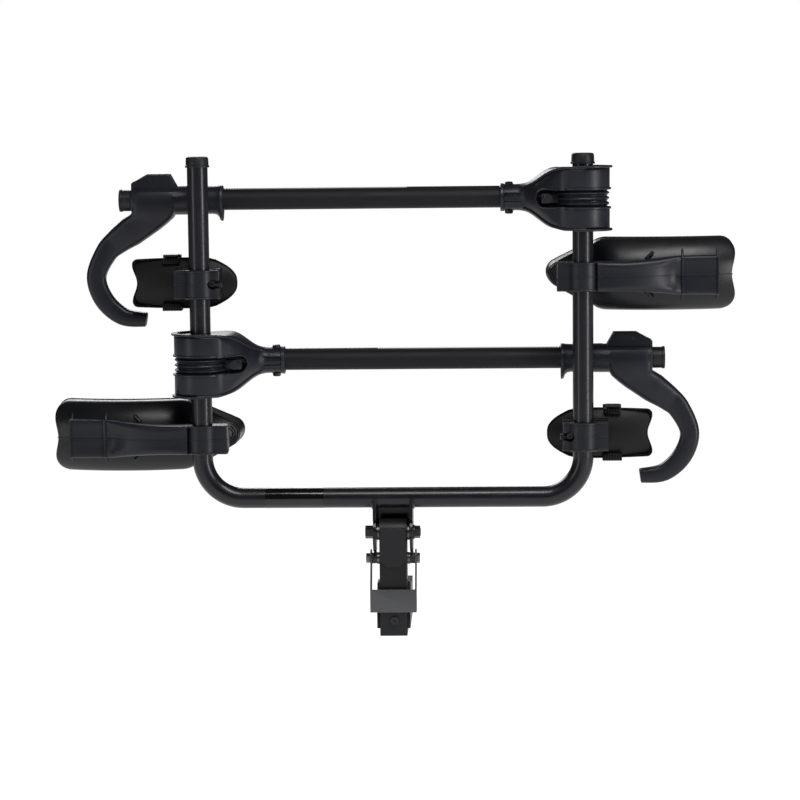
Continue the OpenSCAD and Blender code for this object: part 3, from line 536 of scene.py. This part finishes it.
def cut(obj, *tools, use_self=False):
    for tool in tools:
        modify(obj, "BOOLEAN", operation="DIFFERENCE", object=tool, solver="EXACT",
               use_self=use_self)
        bpy.data.objects.remove(tool)
    return obj


def drum(z0, z1, radius, count=56):
    """A plain round core along the leg, for cutting, in millimetres."""
    return loft([circle_section(Vector((0, 0, z * MM)), X, Y, radius * MM, count)
                 for z in (z0, z1)])


# %% [markdown]
# The bed of the front cradle bends with a tyre of 372 mm radius, and across it is an arc
# of 80 mm. Its rim is a curve about the same wheel axis, so the scoop is 58 mm deep.

# %% Front cradle
LARGE_BED_U, LARGE_BED_Y, LARGE_ARC_R = 148 * MM, 12 * MM, 80 * MM
LARGE_OPEN_R, LARGE_HALF, LARGE_END = BED_R - 58 * MM, 68 * MM - RIM_LIP, 284 * MM - RIM_LIP


def bed_surface(bed_u, bottom, arc_r):
    def bed(u, z):
        r = BED_R - arc_r + math.sqrt(arc_r ** 2 - min(abs(z), arc_r * 0.99) ** 2)
        return bottom + BED_R - math.sqrt(r ** 2 - (u - bed_u) ** 2)
    return bed


large_bed = bed_surface(LARGE_BED_U, LARGE_BED_Y, LARGE_ARC_R)


def large_rim(u, z):
    return LARGE_BED_Y + BED_R - math.sqrt(LARGE_OPEN_R ** 2 - (u - LARGE_BED_U) ** 2)


def end_edge(end, half, depth, corner, steps):
    """The outer end, with its rounded corner and the shallow dip for the tyre."""
    top = half - corner
    points = arc(end - corner, top, corner, 90, 0, 9)
    for i in range(1, steps + 1):
        z = top * (1 - i / steps)
        points.append((end - depth * math.cos(math.pi / 2 * z / top) ** 2, z))
    return points


NOSE_U, NOSE_R = -38 * MM, 25 * MM
large_half = (arc(NOSE_U, 0, NOSE_R, 180, 112, 9)
              + line((-47 * MM, 24 * MM), (12 * MM, 56 * MM), 9)
              + arc(46 * MM, 27 * MM, LARGE_HALF - 27 * MM, 138, 90, 6)
              + line((46 * MM, LARGE_HALF), (LARGE_END - 26 * MM, LARGE_HALF), 16)
              + end_edge(LARGE_END, LARGE_HALF, 7 * MM, 26 * MM, 10))
large_outline = mirrored(large_half)
large_tray = scoop(large_outline, (-34 * MM, 236 * MM), large_bed, large_rim)


def cross_rib(u, half):
    return rib([(u, -half + 2 * half * i / 16) for i in range(17)], 4 * MM, 4.5 * MM,
               large_bed)


def nose_rib(radius, reach):
    return rib(arc(NOSE_U, 0, radius, 90 + reach, 270 - reach, 14), 2.6 * MM, 2.2 * MM,
               large_bed)


def wedge(side):
    return rib([(u * MM, side * (30 + 0.9 * (u - 116)) * MM) for u in range(116, 131, 2)],
               5 * MM, 7 * MM, large_bed)


seam = rib([(u * MM, 0) for u in range(246, 278, 3)], 1.8 * MM, 1.0 * MM, large_bed)
large_tray = join(large_tray, cross_rib(183 * MM, 47 * MM), cross_rib(248 * MM, 47 * MM),
                  wedge(1), wedge(-1), seam, *[nose_rib(r * MM, 24) for r in (21, 16.5, 12)])
for node, side in (("tray_large_upper", 1), ("tray_large_lower", -1)):
    tray = on_leg(copy_of(large_tray), side, CRADLE_Z[node])
    finish_piece(tray, node + "_moulding", node, TRAY_NYLON)
bpy.data.objects.remove(large_tray)

# %% [markdown]
# The rear cradle is short, because the rear wheel only rests in it. Its rim is level,
# its nose is a half round, and a ribbed lug on each edge takes the wheel strap.

# %% Rear cradle
SMALL_HALF, SMALL_END = 47.5 * MM - RIM_LIP, 130 * MM - RIM_LIP
SMALL_RIM_Y = 44 * MM
small_bed = bed_surface(32 * MM, 24 * MM, 70 * MM)
NOSE_SHAPE = ((-66, 0), (-65.8, 5), (-65, 10), (-63, 15), (-59, 20.5), (-54, 25.5),
              (-48, 30), (-41.5, 34), (-34, 38), (-26, 41.2), (-17, 43.6), (-6, 45.2), (4, 45.7))
small_half = ([(u * MM + RIM_LIP * (u < -30), z * MM) for u, z in NOSE_SHAPE]
              + line((4 * MM, SMALL_HALF), (40 * MM, SMALL_HALF), 4)
              + line((38 * MM, SMALL_HALF), (SMALL_END - 10 * MM, 43.5 * MM), 10)
              + end_edge(SMALL_END, 43.5 * MM, 9 * MM, 10 * MM, 12))


def strap_lug():
    lug = block(37, 73, 30, 52.5, -51.2, -46.5)
    teeth = [block(u, u + 2.6, 31, 51.5, -51.5, -50.4, 0.4) for u in range(39, 72, 5)]
    teeth += [block(u, u + 2.6, 26.6, 42, -50, -38, 0.5) for u in range(40, 72, 5)]
    return join(lug, block(37, 73, 28, 44, -50.5, -37, 2.5), *teeth)


small_tray = scoop(mirrored(small_half), (-20 * MM, 76 * MM), small_bed,
                   lambda u, z: SMALL_RIM_Y)
small_tray = join(small_tray, strap_lug(), block(37, 73, 44, 52.5, -47, -39.8),
                  block(39, 71, 28, 43.5, 36, 47.6, 2.5),
                  *[block(u, u + 2.6, 26.6, 42, 37.5, 47, 0.5) for u in range(41, 70, 5)])
for node, side in (("tray_small_upper", -1), ("tray_small_lower", 1)):
    tray = on_leg(copy_of(small_tray), side, CRADLE_Z[node])
    # the small trays take the darker copy of the tray nylon: painted shade
    finish_piece(tray, node + "_moulding", node, SHADE_DARKENED_NYLON)
bpy.data.objects.remove(small_tray)

# %% [markdown]
# ## Saddles of the front cradles
# A saddle grips the leg and runs out under the tray, growing wider into a box that
# takes the weight of the wheel. Its sections change along its length, so it is lofted.

# %% Large saddle
# distance from the leg, front depth, half width and corner radius, in millimetres
SADDLE_STATIONS = (
    (26.1, -25.6, 26.0, 4), (28, -26, 26.4, 5), (50, -26, 26.5, 7), (74, -25.5, 26.8, 9),
    (96, -22.5, 28, 10), (118, -18, 29.8, 11), (132, -13.5, 31, 11), (141, -11, 31.8, 11),
    (150, -8, 32.8, 10), (158, -5.5, 33.8, 9), (166, -3, 34.6, 8), (172, -1, 35, 7),
    (179.5, 2, 35.2, 5), (181, -0.6, 35.4, 4), (185, -0.4, 35.4, 4), (186.5, 3.4, 35.4, 5),
    (215, 4.2, 35.6, 5), (244.5, 5.6, 35.8, 5), (246, 2.8, 36, 4), (248.6, 2.8, 36, 4),
    (249, 5.5, 36, 4))
SADDLE_CORNER_STEPS = 5


def saddle_section(u, front, half, corner):
    u, front, half, corner = u * MM, front * MM, half * MM, corner * MM
    back = [(large_bed(u, z) - 0.1 * MM, z) for z in
            [half - 2 * half * i / 12 for i in range(13)]]
    low = [(front + corner - corner * math.cos(a), -half + corner - corner * math.sin(a))
           for a in [math.pi / 2 * (1 - i / SADDLE_CORNER_STEPS)
                     for i in range(SADDLE_CORNER_STEPS + 1)]]
    high = [(y, -z) for y, z in reversed(low)]
    flat = half - corner
    near_rib = max(0, 1 - abs(u - 168 * MM) / (34 * MM))
    hollow = (0.8 + 8.5 * near_rib ** 1.5) * MM
    middle = []
    for f in (-0.8, -0.6, -0.4, -0.2, -0.06, -0.03, 0.03, 0.06, 0.2, 0.4, 0.6, 0.8):
        dip = hollow * (1 - f * f)
        if abs(f) < 0.05:
            dip -= 1.3 * MM
        middle.append((front + dip, flat * f))
    return [Vector((u, y, z)) for y, z in back + low + middle + high]


saddle = loft([saddle_section(*row) for row in SADDLE_STATIONS])
inner_half = block(-47.5, 26, 1.5, 22, -26.2, 26.2, 2)


def under_bed(u, z):
    return min(large_bed(u * MM, z * MM), 85 * MM) - 0.2 * MM


shelf = loft([[Vector((u * MM, y, z * MM)) for y, z in (
    (1.5 * MM, -26), (1.5 * MM, 26), (under_bed(u, 26), 26), (under_bed(u, 0), 0),
    (under_bed(u, 26), -26))] for u in (-12, 0, 10, 20, 27)])
saddle = cut(join(saddle, shelf, inner_half), drum(-60, 60, TUBE_R / MM), use_self=True)
for node, side, at in (("saddle_large_upper", 1, "tray_large_upper"),
                       ("saddle_large_lower", -1, "tray_large_lower")):
    piece = on_leg(copy_of(saddle), side, CRADLE_Z[at])
    finish_piece(piece, node + "_moulding", node)
bpy.data.objects.remove(saddle)

# %% [markdown]
# ## Clamps on the legs
# The other half of each clamp is a strap of plastic bent round the tube. Its border is
# raised and a thin seam runs along its middle, so its outline is lofted up the leg and
# grows at both ends. The rear clamps also have a keyhole for their bolt, open at the
# ear, with a threaded stud lying in it.

# %% Half clamps
def clamp_outline(ear_u, foot_u, grow, foot_step=18):
    """Half clamp seen along the leg, from its ear to its foot, in millimetres."""
    r, step = 31 + grow, 18 + grow
    a0 = math.degrees(math.asin(step / r))
    points = [(-ear_u - grow * 0.4, -1), (-ear_u - grow * 0.4, -step + 4),
              (-ear_u + 1.2, -step + 1.2), (-ear_u + 4, -step)]
    points += [(r * math.cos(math.radians(a)), r * math.sin(math.radians(a)))
               for a in (180 + a0 + (180 - 2 * a0) * i / 20 for i in range(21))
               if r * math.cos(math.radians(a)) < foot_u + 0.4]
    last = points[-1]
    points += [(foot_u + grow * 0.2, min(last[1] + 0.5, -foot_step)),
               (foot_u + grow * 0.2, -1)]
    return points


def half_clamp(ear_u, foot_u, foot_step=18, seam=1.1):
    rows = [(-26.5, -1.4), (-25.4, -0.1), (-23, 0), (-22, -1.1), (-1.3, -1.1),
            (-0.8, seam - 1.1), (0.8, seam - 1.1), (1.3, -1.1), (22, -1.1), (23, 0),
            (25.4, -0.1), (26.5, -1.4)]
    count = min(len(clamp_outline(ear_u, foot_u, g, foot_step)) for _, g in rows)
    sections = []
    for z, grow in rows:
        outline = clamp_outline(ear_u, foot_u, grow, foot_step)
        while len(outline) > count:
            outline.pop(-3)
        sections.append([Vector((u * MM, y * MM, z * MM)) for u, y in outline])
    return cut(loft(sections), drum(-60, 60, TUBE_R / MM))


KEYHOLE_FLOOR = -3


def keyhole(bolt_u):
    """The bolt recess, open towards the middle of the rack."""
    round_part = loft([circle_section(Vector((bolt_u * MM, y * MM, 0)), X, Z, 8.8 * MM, 40)
                       for y in (KEYHOLE_FLOOR, -40)])
    return round_part, block(-60, bolt_u, -40, KEYHOLE_FLOOR, -7, 7)


large_clamp = half_clamp(48, 26)
small_clamp = cut(half_clamp(38, 45.6, 5), *keyhole(-26))
ROOT_R, CREST_R, THREADS = 4.6, 5.4, 11
stud_radii = [3.4] + [ROOT_R, CREST_R] * THREADS + [3.6]
stud = loft([circle_section(Vector(((-20 - i) * MM, -9.6 * MM, 0)), Y, Z, r * MM, 20)
             for i, r in enumerate(stud_radii)])
small_clamp = join(small_clamp, stud)
for node, source, side, at in (
        ("clamp_large_upper", large_clamp, 1, "tray_large_upper"),
        ("clamp_large_lower", large_clamp, -1, "tray_large_lower"),
        ("clamp_small_upper", small_clamp, -1, "tray_small_upper"),
        ("clamp_small_lower", small_clamp, 1, "tray_small_lower")):
    piece = on_leg(copy_of(source), side, CRADLE_Z[at])
    finish_piece(piece, node + "_moulding", node)
bpy.data.objects.remove(large_clamp)
bpy.data.objects.remove(small_clamp)

# %% [markdown]
# ## Yokes
# The yoke is the moulding that turns on the leg and holds the arm. It is a barrel that
# narrows to a socket like the shoulder of a bottle. Sections along the arm are set
# square to it, sharp at the barrel and round at the neck.

# %% Yoke body
BARREL_R, SOCKET_R, ARM_BACK = 49, 25, (ARM_Y - FRAME_Y) / MM
SHOULDER = ((-49, 55), (46, 55), (54, 54.4), (62, 52), (70, 47.8), (78, 42), (86, 36),
            (94, 30.5), (102, 26.8), (110, 25), (118, 24.2), (130, 24), (143, 24),
            (144, 25.8), (149, 25.8), (150, 25))
YOKE_BACK = ((-49, 0), (-34, 36), (50, ARM_BACK + SOCKET_R), (150, ARM_BACK + SOCKET_R))
YOKE_FRONT = ((0, -BARREL_R), (20, -46), (40, -38), (60, -19), (78, 6), (92, 28),
              (104, 42), (114, ARM_BACK - SOCKET_R), (150, ARM_BACK - SOCKET_R))


def along(rows, u):
    for (u0, v0), (u1, v1) in zip(rows, rows[1:]):
        if u <= u1:
            return v0 + (v1 - v0) * (u - u0) / (u1 - u0)
    return rows[-1][1]


def yoke_section(u, corner_steps=6):
    high = along(SHOULDER, u)
    round_y = math.sqrt(max(BARREL_R ** 2 - u * u, 9)) if u < 0 else 0
    front = -round_y if u < 0 else along(YOKE_FRONT, u)
    back = max(round_y, along(YOKE_BACK, u)) if u < 0 else along(YOKE_BACK, u)
    grow = max(u - 140, 0) and high - SOCKET_R
    front, back = front - grow, back + grow
    blend = min(max((u - 34) / 76, 0), 1)
    corner = 5 + (min(high, (back - front) / 2) - 5) * blend
    corner = min(corner, (back - front) / 2 - 0.05, high - 0.05)
    points = []
    for cy, cz, start in ((back - corner, high - corner, 0),
                          (front + corner, high - corner, 90),
                          (front + corner, corner - high, 180),
                          (back - corner, corner - high, 270)):
        for i in range(corner_steps + 1):
            a = math.radians(start + 90 * i / corner_steps)
            points.append(Vector((u * MM, (cy + corner * math.cos(a)) * MM,
                                  (cz + corner * math.sin(a)) * MM)))
    return points


def lip_ring(z, height, inner=44.0, outer=54.0):
    """A raised lip round the barrel, thinning out towards the arm."""
    rows = [(inner, -0.5), (outer - 1, -0.5), (outer, -0.3), (outer, 0.3), (outer - 1, 0.5),
            (inner, 0.5)]
    sections = []
    for i in range(49):
        a = math.radians(118 + (292 - 118) * i / 48)
        fade = min(1, 0.1 + (48 - i) / 12, 0.25 + i / 6)
        sections.append([Vector(((r if r == inner else BARREL_R - 1 + (r - BARREL_R + 1) * fade)
                                 * math.cos(a) * MM,
                                 (r if r == inner else BARREL_R - 1 + (r - BARREL_R + 1) * fade)
                                 * math.sin(a) * MM,
                                 (z + h * height) * MM)) for r, h in rows])
    return loft(sections)


def bead(path, radius, count=12):
    """A round bead along a path of points, in millimetres."""
    path = [Vector(p) * MM for p in path]
    sections = []
    for i, place in enumerate(path):
        run = (path[min(i + 1, len(path) - 1)] - path[max(i - 1, 0)]).normalized()
        across = run.cross(Z if abs(run.z) < 0.8 else X).normalized()
        sections.append(circle_section(place, across, run.cross(across), radius * MM, count))
    return loft(sections)


def flange_bead(top):
    """The raised border that follows the outline of the yoke from barrel to socket."""
    path = []
    for i in range(34):
        u = 3.4 * i - 4
        high, front = along(SHOULDER, u) + 2, along(YOKE_FRONT, max(u, 0))
        back = along(YOKE_BACK, u)
        blend = min(max((u - 34) / 76, 0), 1)
        corner = 5 + (min(high, (back - front) / 2) - 5) * blend
        inset = 0.29 * corner
        path.append((u, front + inset, top * (high - inset)))
    return bead(path, 2.4)


def slot_bead():
    """The raised rim round the slot."""
    path = [(u, along(YOKE_FRONT, u) - 0.2, 17) for u in range(46, 72, 6)]
    for i in range(13):
        a = math.radians(90 - 15 * i)
        u = 70 + 15 * math.cos(a)
        path.append((u, along(YOKE_FRONT, u) - 0.2, 17 * math.sin(a)))
    path += [(u, along(YOKE_FRONT, u) - 0.2, -17) for u in range(66, 44, -6)]
    return bead(path, 1.7)


def make_yoke():
    stations = ([-48.9, -48, -46, -42, -36, -28, -18, -8, 0, 10, 20, 30]
                + [36 + 4 * i for i in range(20)] + [114, 120, 130, 142.5, 144, 149, 150])
    body = loft([yoke_section(u) for u in stations])
    room = loft([circle_section(Vector((0, 0, z * MM)), X, Y,
                                (72 + math.sqrt(225 - min(z * z, 224))) * MM, 72)
                 for z in (-15, -14, -12, -9, -5, 0, 5, 9, 12, 14, 15)])
    bore = loft([circle_section(Vector((u * MM, ARM_BACK * MM, 0)), Y, Z,
                                TUBE_R + 0.05 * MM, 56) for u in (112, 160)])
    bolt = loft([circle_section(Vector((134 * MM, ARM_BACK * MM, z * MM)), X, Y, 4.4 * MM, 24)
                 for z in (-40, 40)])
    cut(body, room, drum(-19.9, 19.9, 52.5), drum(-80, 80, 19.45), bore, bolt)
    lips = [lip_ring(z, 4) for z in (57, -57)]
    ribs = [block(106, 143.5, ARM_BACK - 26.2, ARM_BACK - 23.5, z - 1, z + 1, 0.6)
            for z in (-9, 0, 9)]
    return join(body, *lips, *ribs, flange_bead(1), flange_bead(-1), slot_bead())


yoke = make_yoke()
for node, upper in (("yoke_upper", True), ("yoke_lower", False)):
    side = -1 if upper else 1
    piece = mirror_to(copy_of(yoke), side, -side * LEG_RIGHT.x, FRAME_Y,
                      ARM_UPPER_Z if upper else ARM_LOWER_Z)
    finish_piece(piece, node + "_moulding", node)
bpy.data.objects.remove(yoke)

# %% [markdown]
# A cross bolt with low domed ends holds the arm tube in the yoke's socket. It is turned,
# so it is lofted from rings of changing radius.

# %% Yoke bolts
BOLT_U = 134 * MM
# height and radius, in millimetres
BOLT_RINGS = ((-30.6, 4.6), (-30.2, 6.4), (-28.6, 7.6), (-25, 7.8), (-24.4, 9), (-23.6, 9),
              (-23.4, 4), (23.4, 4), (23.6, 9), (24.6, 9), (25.2, 7.6), (27.6, 7.2),
              (28.6, 6), (29, 4))
yoke_bolt = loft([circle_section(Vector((BOLT_U, 0, z * MM)), X, Y, r * MM, 32)
                  for z, r in BOLT_RINGS])
for node, upper in (("yoke_bolt_upper", True), ("yoke_bolt_lower", False)):
    finish_piece(on_arm(copy_of(yoke_bolt), upper), node + "_turned", node)
bpy.data.objects.remove(yoke_bolt)

# %% [markdown]
# ## Collars
# The collar is clamped on the leg inside the slot of the yoke and carries its weight.
# It is a ribbed ring: rings of changing radius are stacked up the leg, and the last one
# meets the first at the bore.

# %% Collars
def collar_radius(z):
    return 46.2 + 2.3 * math.cos(2 * math.pi * z / 9.6)


def make_collar():
    rows = [(TUBE_R / MM, -19.5), (50.6, -19.5), (51.5, -18.7), (51.5, -16.3), (50.6, -15.5)]
    rows += [(collar_radius(z / 10), z / 10) for z in range(-144, 145, 9)]
    rows += [(50.6, 15.5), (51.5, 16.3), (51.5, 18.7), (50.6, 19.5), (TUBE_R / MM, 19.5),
             (TUBE_R / MM, -19.5)]
    ring = loft([circle_section(Vector((0, 0, z * MM)), X, Y, r * MM, 72) for r, z in rows],
                closed_ends=False)
    ears = [block(42, 75, y0, y1, -9, 9, 2) for y0, y1 in ((-12, -1.5), (1.5, 14))]
    for ear in ears:
        cut(ear, loft([circle_section(Vector((64 * MM, y * MM, 0)), X, Z, 5.2 * MM, 24)
                       for y in (-40, 40)]))
    return join(ring, *ears)


collar = make_collar()
for node, upper in (("collar_upper", True), ("collar_lower", False)):
    side = -1 if upper else 1
    piece = mirror_to(copy_of(collar), side, -side * LEG_RIGHT.x, FRAME_Y,
                      ARM_UPPER_Z if upper else ARM_LOWER_Z)
    finish_piece(piece, node + "_moulding", node)
bpy.data.objects.remove(collar)

# %% [markdown]
# ## Toothed strips
# The hooks ratchet along a strip of fine teeth on top of each arm. A tooth every five
# millimetres is lofted as a step up and a step down.

# %% Toothed strips
STRIP_TOP, TOOTH_ROOT, TOOTH_PITCH = TUBE_R + 2.3 * MM, TUBE_R + 0.5 * MM, 5 * MM
TEETH_START, TEETH_END, STRIP_END = 834 * MM, 321 * MM, 151 * MM


def make_strip():
    rows, u = [], TEETH_START
    while u - TOOTH_PITCH > TEETH_END:
        rows += [(u, STRIP_TOP - 0.3 * MM), (u - 0.4 * MM, STRIP_TOP), (u - 1.9 * MM, STRIP_TOP),
                 (u - 2.5 * MM, TOOTH_ROOT), (u - 4.6 * MM, TOOTH_ROOT)]
        u -= TOOTH_PITCH
    rows += [(u, STRIP_TOP), (STRIP_END, STRIP_TOP)]
    foot = TUBE_R - 1.6 * MM
    return loft([[Vector((u, y * MM, z)) for y, z in (
        (-7, foot), (-7, top - 0.4 * MM), (-6.4, top), (6.4, top), (7, top - 0.4 * MM),
        (7, foot))] for u, top in rows])


strip = make_strip()
for node, upper in (("rack_strip_upper", True), ("rack_strip_lower", False)):
    finish_piece(on_arm(copy_of(strip), upper), node + "_toothed", node)
bpy.data.objects.remove(strip)

# %% [markdown]
# ## Ratchet hooks
# The hook is a thick moulded bow, oval in section, that grows out of a squarer trunk
# wrapped round the sleeve. The sleeve slides on the arm and carries two cheeks that hold
# the release lever. Trunk and bow are one loft, thinning from the trunk to the bow.

# %% Hook centre line
# distance from the end of the sleeve, height and half width, in millimetres
HOOK_LINE = ((-48, -8, 36), (-12, -46, 30), (28, -75, 24), (51, -97.5, 20.5),
             (70, -141.6, 18), (56.3, -185.3, 18), (22, -216, 16.5), (-21, -222.3, 13.5))
HOOK_HALF = 14 * MM
# the trunk over the sleeve: outer edge, inner edge, half thickness and squareness
TRUNK = ((-5, 17, -83, 17, 20, 0.3), (-4, 16, -84, 16, 24, 0.3), (-3, 8, -85, 8, 27.4, 0.25),
         (-2, -6, -85, -6, 28, 0.25), (-1, -20, -83, -20, 27.6, 0.3),
         (1, -24, -77, -32, 26, 0.35), (3, -25.5, -64, -44, 24, 0.45),
         (6, -27, -50, -55, 22, 0.55))
# where along HOOK_LINE the bow leaves the trunk, and where it is down to its own thickness
BOW_START, TRUNK_FADE = 1.35, 2.3
SLEEVE_END, SLEEVE_LENGTH = 835 * MM, 170 * MM


def curve_point(rows, t):
    i = min(int(t), len(rows) - 2)
    a, b, c, d = (rows[max(i - 1, 0)], rows[i], rows[i + 1], rows[min(i + 2, len(rows) - 1)])
    s = t - i
    return [0.5 * (2 * q + (r - p) * s + (2 * p - 5 * q + 4 * r - w) * s ** 2
                   + (3 * q - p - 3 * r + w) * s ** 3) for p, q, r, w in zip(a, b, c, d)]


def hook_section(outer, inner, thick=HOOK_HALF, count=28, power=0.6):
    """A soft-cornered section between its two edges, given as distance and height."""
    a, b = (Vector((SLEEVE_END + u * MM, 0, w * MM)) for u, w in (outer, inner))
    middle, reach = (a + b) / 2, (a - b) / 2
    points = []
    for i in range(count):
        turn = 2 * math.pi * i / count
        c, s = math.cos(turn), math.sin(turn)
        points.append(middle + reach * math.copysign(abs(c) ** power, c)
                      + Y * thick * math.copysign(abs(s) ** power, s))
    return points


def make_hook_bow(steps=40):
    last = len(HOOK_LINE) - 1
    sections = [hook_section((u0, w0), (u1, w1), thick * MM, power=power)
                for u0, w0, u1, w1, thick, power in TRUNK]
    for i in range(steps + 1):
        t = BOW_START + (last - BOW_START) * i / steps
        u, w, half = curve_point(HOOK_LINE, t)
        before = curve_point(HOOK_LINE, max(t - 0.02, 0))
        after = curve_point(HOOK_LINE, min(t + 0.02, last))
        run = Vector((after[0] - before[0], after[1] - before[1])).normalized()
        out = Vector((-run.y, run.x)) * half
        thick = HOOK_HALF + max(0, TRUNK_FADE - t) * 7 * MM
        sections.append(hook_section((u + out.x, w + out.y), (u - out.x, w - out.y), thick))
    tip = sections[-1]
    heart = sum(tip, Vector()) / len(tip)
    push = (heart - sum(sections[-2], Vector()) / len(tip)).normalized()
    sections.append([heart + (p - heart) * 0.97 + push * 0.7 * MM for p in tip])
    sections.append([heart + (p - heart) * 0.86 + push * 1.6 * MM for p in tip])
    return loft(sections)


# %% [markdown]
# The sleeve is drawn from rings along the arm: a plain barrel, a step, and a flange at
# the inner end that keeps fingers off the teeth. The flange hangs lower than it rises.

# %% Sleeve, flange and cheeks
def sleeve_ring(u, radius, drop=0.0, count=48):
    ring = []
    for i in range(count):
        a = 2 * math.pi * i / count
        y, z = radius * math.cos(a), radius * math.sin(a)
        if z < 0:
            z *= 1 + drop
            y *= 1 - 0.28 * drop * (z / radius) ** 2
        ring.append(Vector((u, y, z)))
    return ring


def make_sleeve():
    start = SLEEVE_END - SLEEVE_LENGTH
    bore = 19.6 * MM
    rows = [(0, bore, 0), (0, 26.6 * MM, 0.46), (2, 27.4 * MM, 0.45), (5, 27.2 * MM, 0.40),
            (8, 26.6 * MM, 0.16), (12, 26.2 * MM, 0.04), (18, 26.0 * MM, 0.0),
            (60, 26.4 * MM, 0.0), (64, 27.0 * MM, 0.0), (166, 27.0 * MM, 0.0),
            (169, 26.2 * MM, 0.0), (170, 24.5 * MM, 0.0), (170, bore, 0), (0, bore, 0)]
    sleeve = loft([sleeve_ring(start + u * MM, r, drop) for u, r, drop in rows],
                  closed_ends=False)
    return sleeve


CHEEK_OUTLINE = ((-88, 16), (-74, 45), (-71, 47.3), (-66, 47.5), (-34, 47.5), (-30, 46.6),
                 (-3, 34.5), (0, 31.5), (0, 16))


def make_cheek(side):
    y0, y1 = sorted((side * 8.4, side * 13.4))
    cheek = loft([[Vector((SLEEVE_END + u * MM, y * MM, w * MM)) for u, w in CHEEK_OUTLINE]
                  for y in (y0, y1)])
    return modify(cheek, "BEVEL", width=1.6 * MM, segments=3, limit_method="ANGLE",
                  angle_limit=math.radians(50))


BORE_GAP, GROOVE_HALF, POCKET_HALF = 0.75 * MM, 7.4, 8.4


def make_hook():
    """The hook with its bore, the groove for the teeth and the pocket for the lever."""
    inner, end = (SLEEVE_END - SLEEVE_LENGTH) / MM - 3, SLEEVE_END / MM + 3
    bore = loft([circle_section(Vector((u * MM, 0, 0)), Y, Z, TUBE_R + BORE_GAP, 48)
                 for u in (inner, end)])
    groove = block(inner, end, -GROOVE_HALF, GROOVE_HALF, 5, STRIP_TOP / MM + 0.4)
    pocket = block(end - 95, end, -POCKET_HALF, POCKET_HALF, 5, 60)
    hook = join(make_sleeve(), make_hook_bow(), make_cheek(1), make_cheek(-1))
    return cut(hook, bore, groove, pocket, use_self=True)


ratchet_hook = make_hook()
for node, upper in (("hook_upper", True), ("hook_lower", False)):
    piece = on_arm(copy_of(ratchet_hook), upper)
    finish_piece(piece, node + "_moulding", node)
bpy.data.objects.remove(ratchet_hook)

# %% [markdown]
# ## Camera, light and floor
# The camera stands a little to one side and above the middle, square to the rack. The
# light is a dim white room with a broad panel from above, a strong narrow one at the
# right, a weaker one at the left and a small one behind. They draw the long highlights
# on the tubes. The floor is a pale sheet that glows a little, so it stays even to its edge.

# %% Camera
camera_data = bpy.data.cameras.new("camera")
camera_data.lens = 112.86
camera_data.sensor_width = 36
camera = bpy.data.objects.new("camera", camera_data)
bpy.context.scene.collection.objects.link(camera)
camera.location = (0.1808, -4.8053, 0.9512)
camera.rotation_euler = Euler((1.4538, 0.0105, 0.0349), "XYZ")
bpy.context.scene.camera = camera


# %% Light
def panel(name, place, aim, width, height, watts):
    data = bpy.data.lights.new(name, "AREA")
    data.shape, data.size, data.size_y, data.energy = "RECTANGLE", width, height, watts
    lamp = bpy.data.objects.new(name, data)
    bpy.context.scene.collection.objects.link(lamp)
    lamp.location = place
    lamp.rotation_euler = (Vector(aim) - Vector(place)).to_track_quat("-Z", "Y").to_euler()
    return lamp


MIDDLE = (0, FRAME_Y, 0.45)
panel("top_panel", (0.7, -1.7, 3.0), MIDDLE, 2.4, 0.8, 80)
panel("left_panel", (-3.0, -2.6, 1.0), MIDDLE, 0.6, 2.4, 22)
panel("right_panel", (3.0, -2.2, 0.9), MIDDLE, 0.6, 2.2, 62)
panel("back_panel", (-1.2, 3.2, 2.2), MIDDLE, 2.0, 1.6, 60)
world = bpy.data.worlds.new("white_room")
world.use_nodes = True
sky = world.node_tree
room = sky.nodes["Background"]
room.inputs["Color"].default_value = (1, 1, 1, 1)
room.inputs["Strength"].default_value = 0.06
paper_white = add_node(sky, "ShaderNodeBackground",
                       values={"Color": (1, 1, 1, 1), "Strength": 1.0})
seen = add_node(sky, "ShaderNodeLightPath").outputs["Is Camera Ray"]
both = add_node(sky, "ShaderNodeMixShader", links={
    0: seen, 1: room.outputs[0], 2: paper_white.outputs[0]})
sky.links.new(both.outputs[0], sky.nodes["World Output"].inputs["Surface"])
bpy.context.scene.world = world
bpy.context.scene.view_settings.view_transform = "Standard"

# %% Floor
deselect()
bpy.ops.mesh.primitive_plane_add(size=14, location=(0, 0, -0.45))
floor = bpy.context.object
floor.name = "floor"
paper = bpy.data.materials.new("white_paper")
paper.use_nodes = True
PAPER_GREY, PAPER_GLOW = 0.3, 0.98
sheet = paper.node_tree.nodes["Principled BSDF"]
sheet.inputs["Base Color"].default_value = (PAPER_GREY, PAPER_GREY, PAPER_GREY, 1)
sheet.inputs["Roughness"].default_value = 1.0
sheet.inputs["Specular IOR Level"].default_value = 0.0
sheet.inputs["Emission Color"].default_value = (1, 1, 1, 1)
sheet.inputs["Emission Strength"].default_value = PAPER_GLOW
floor.data.materials.append(paper)
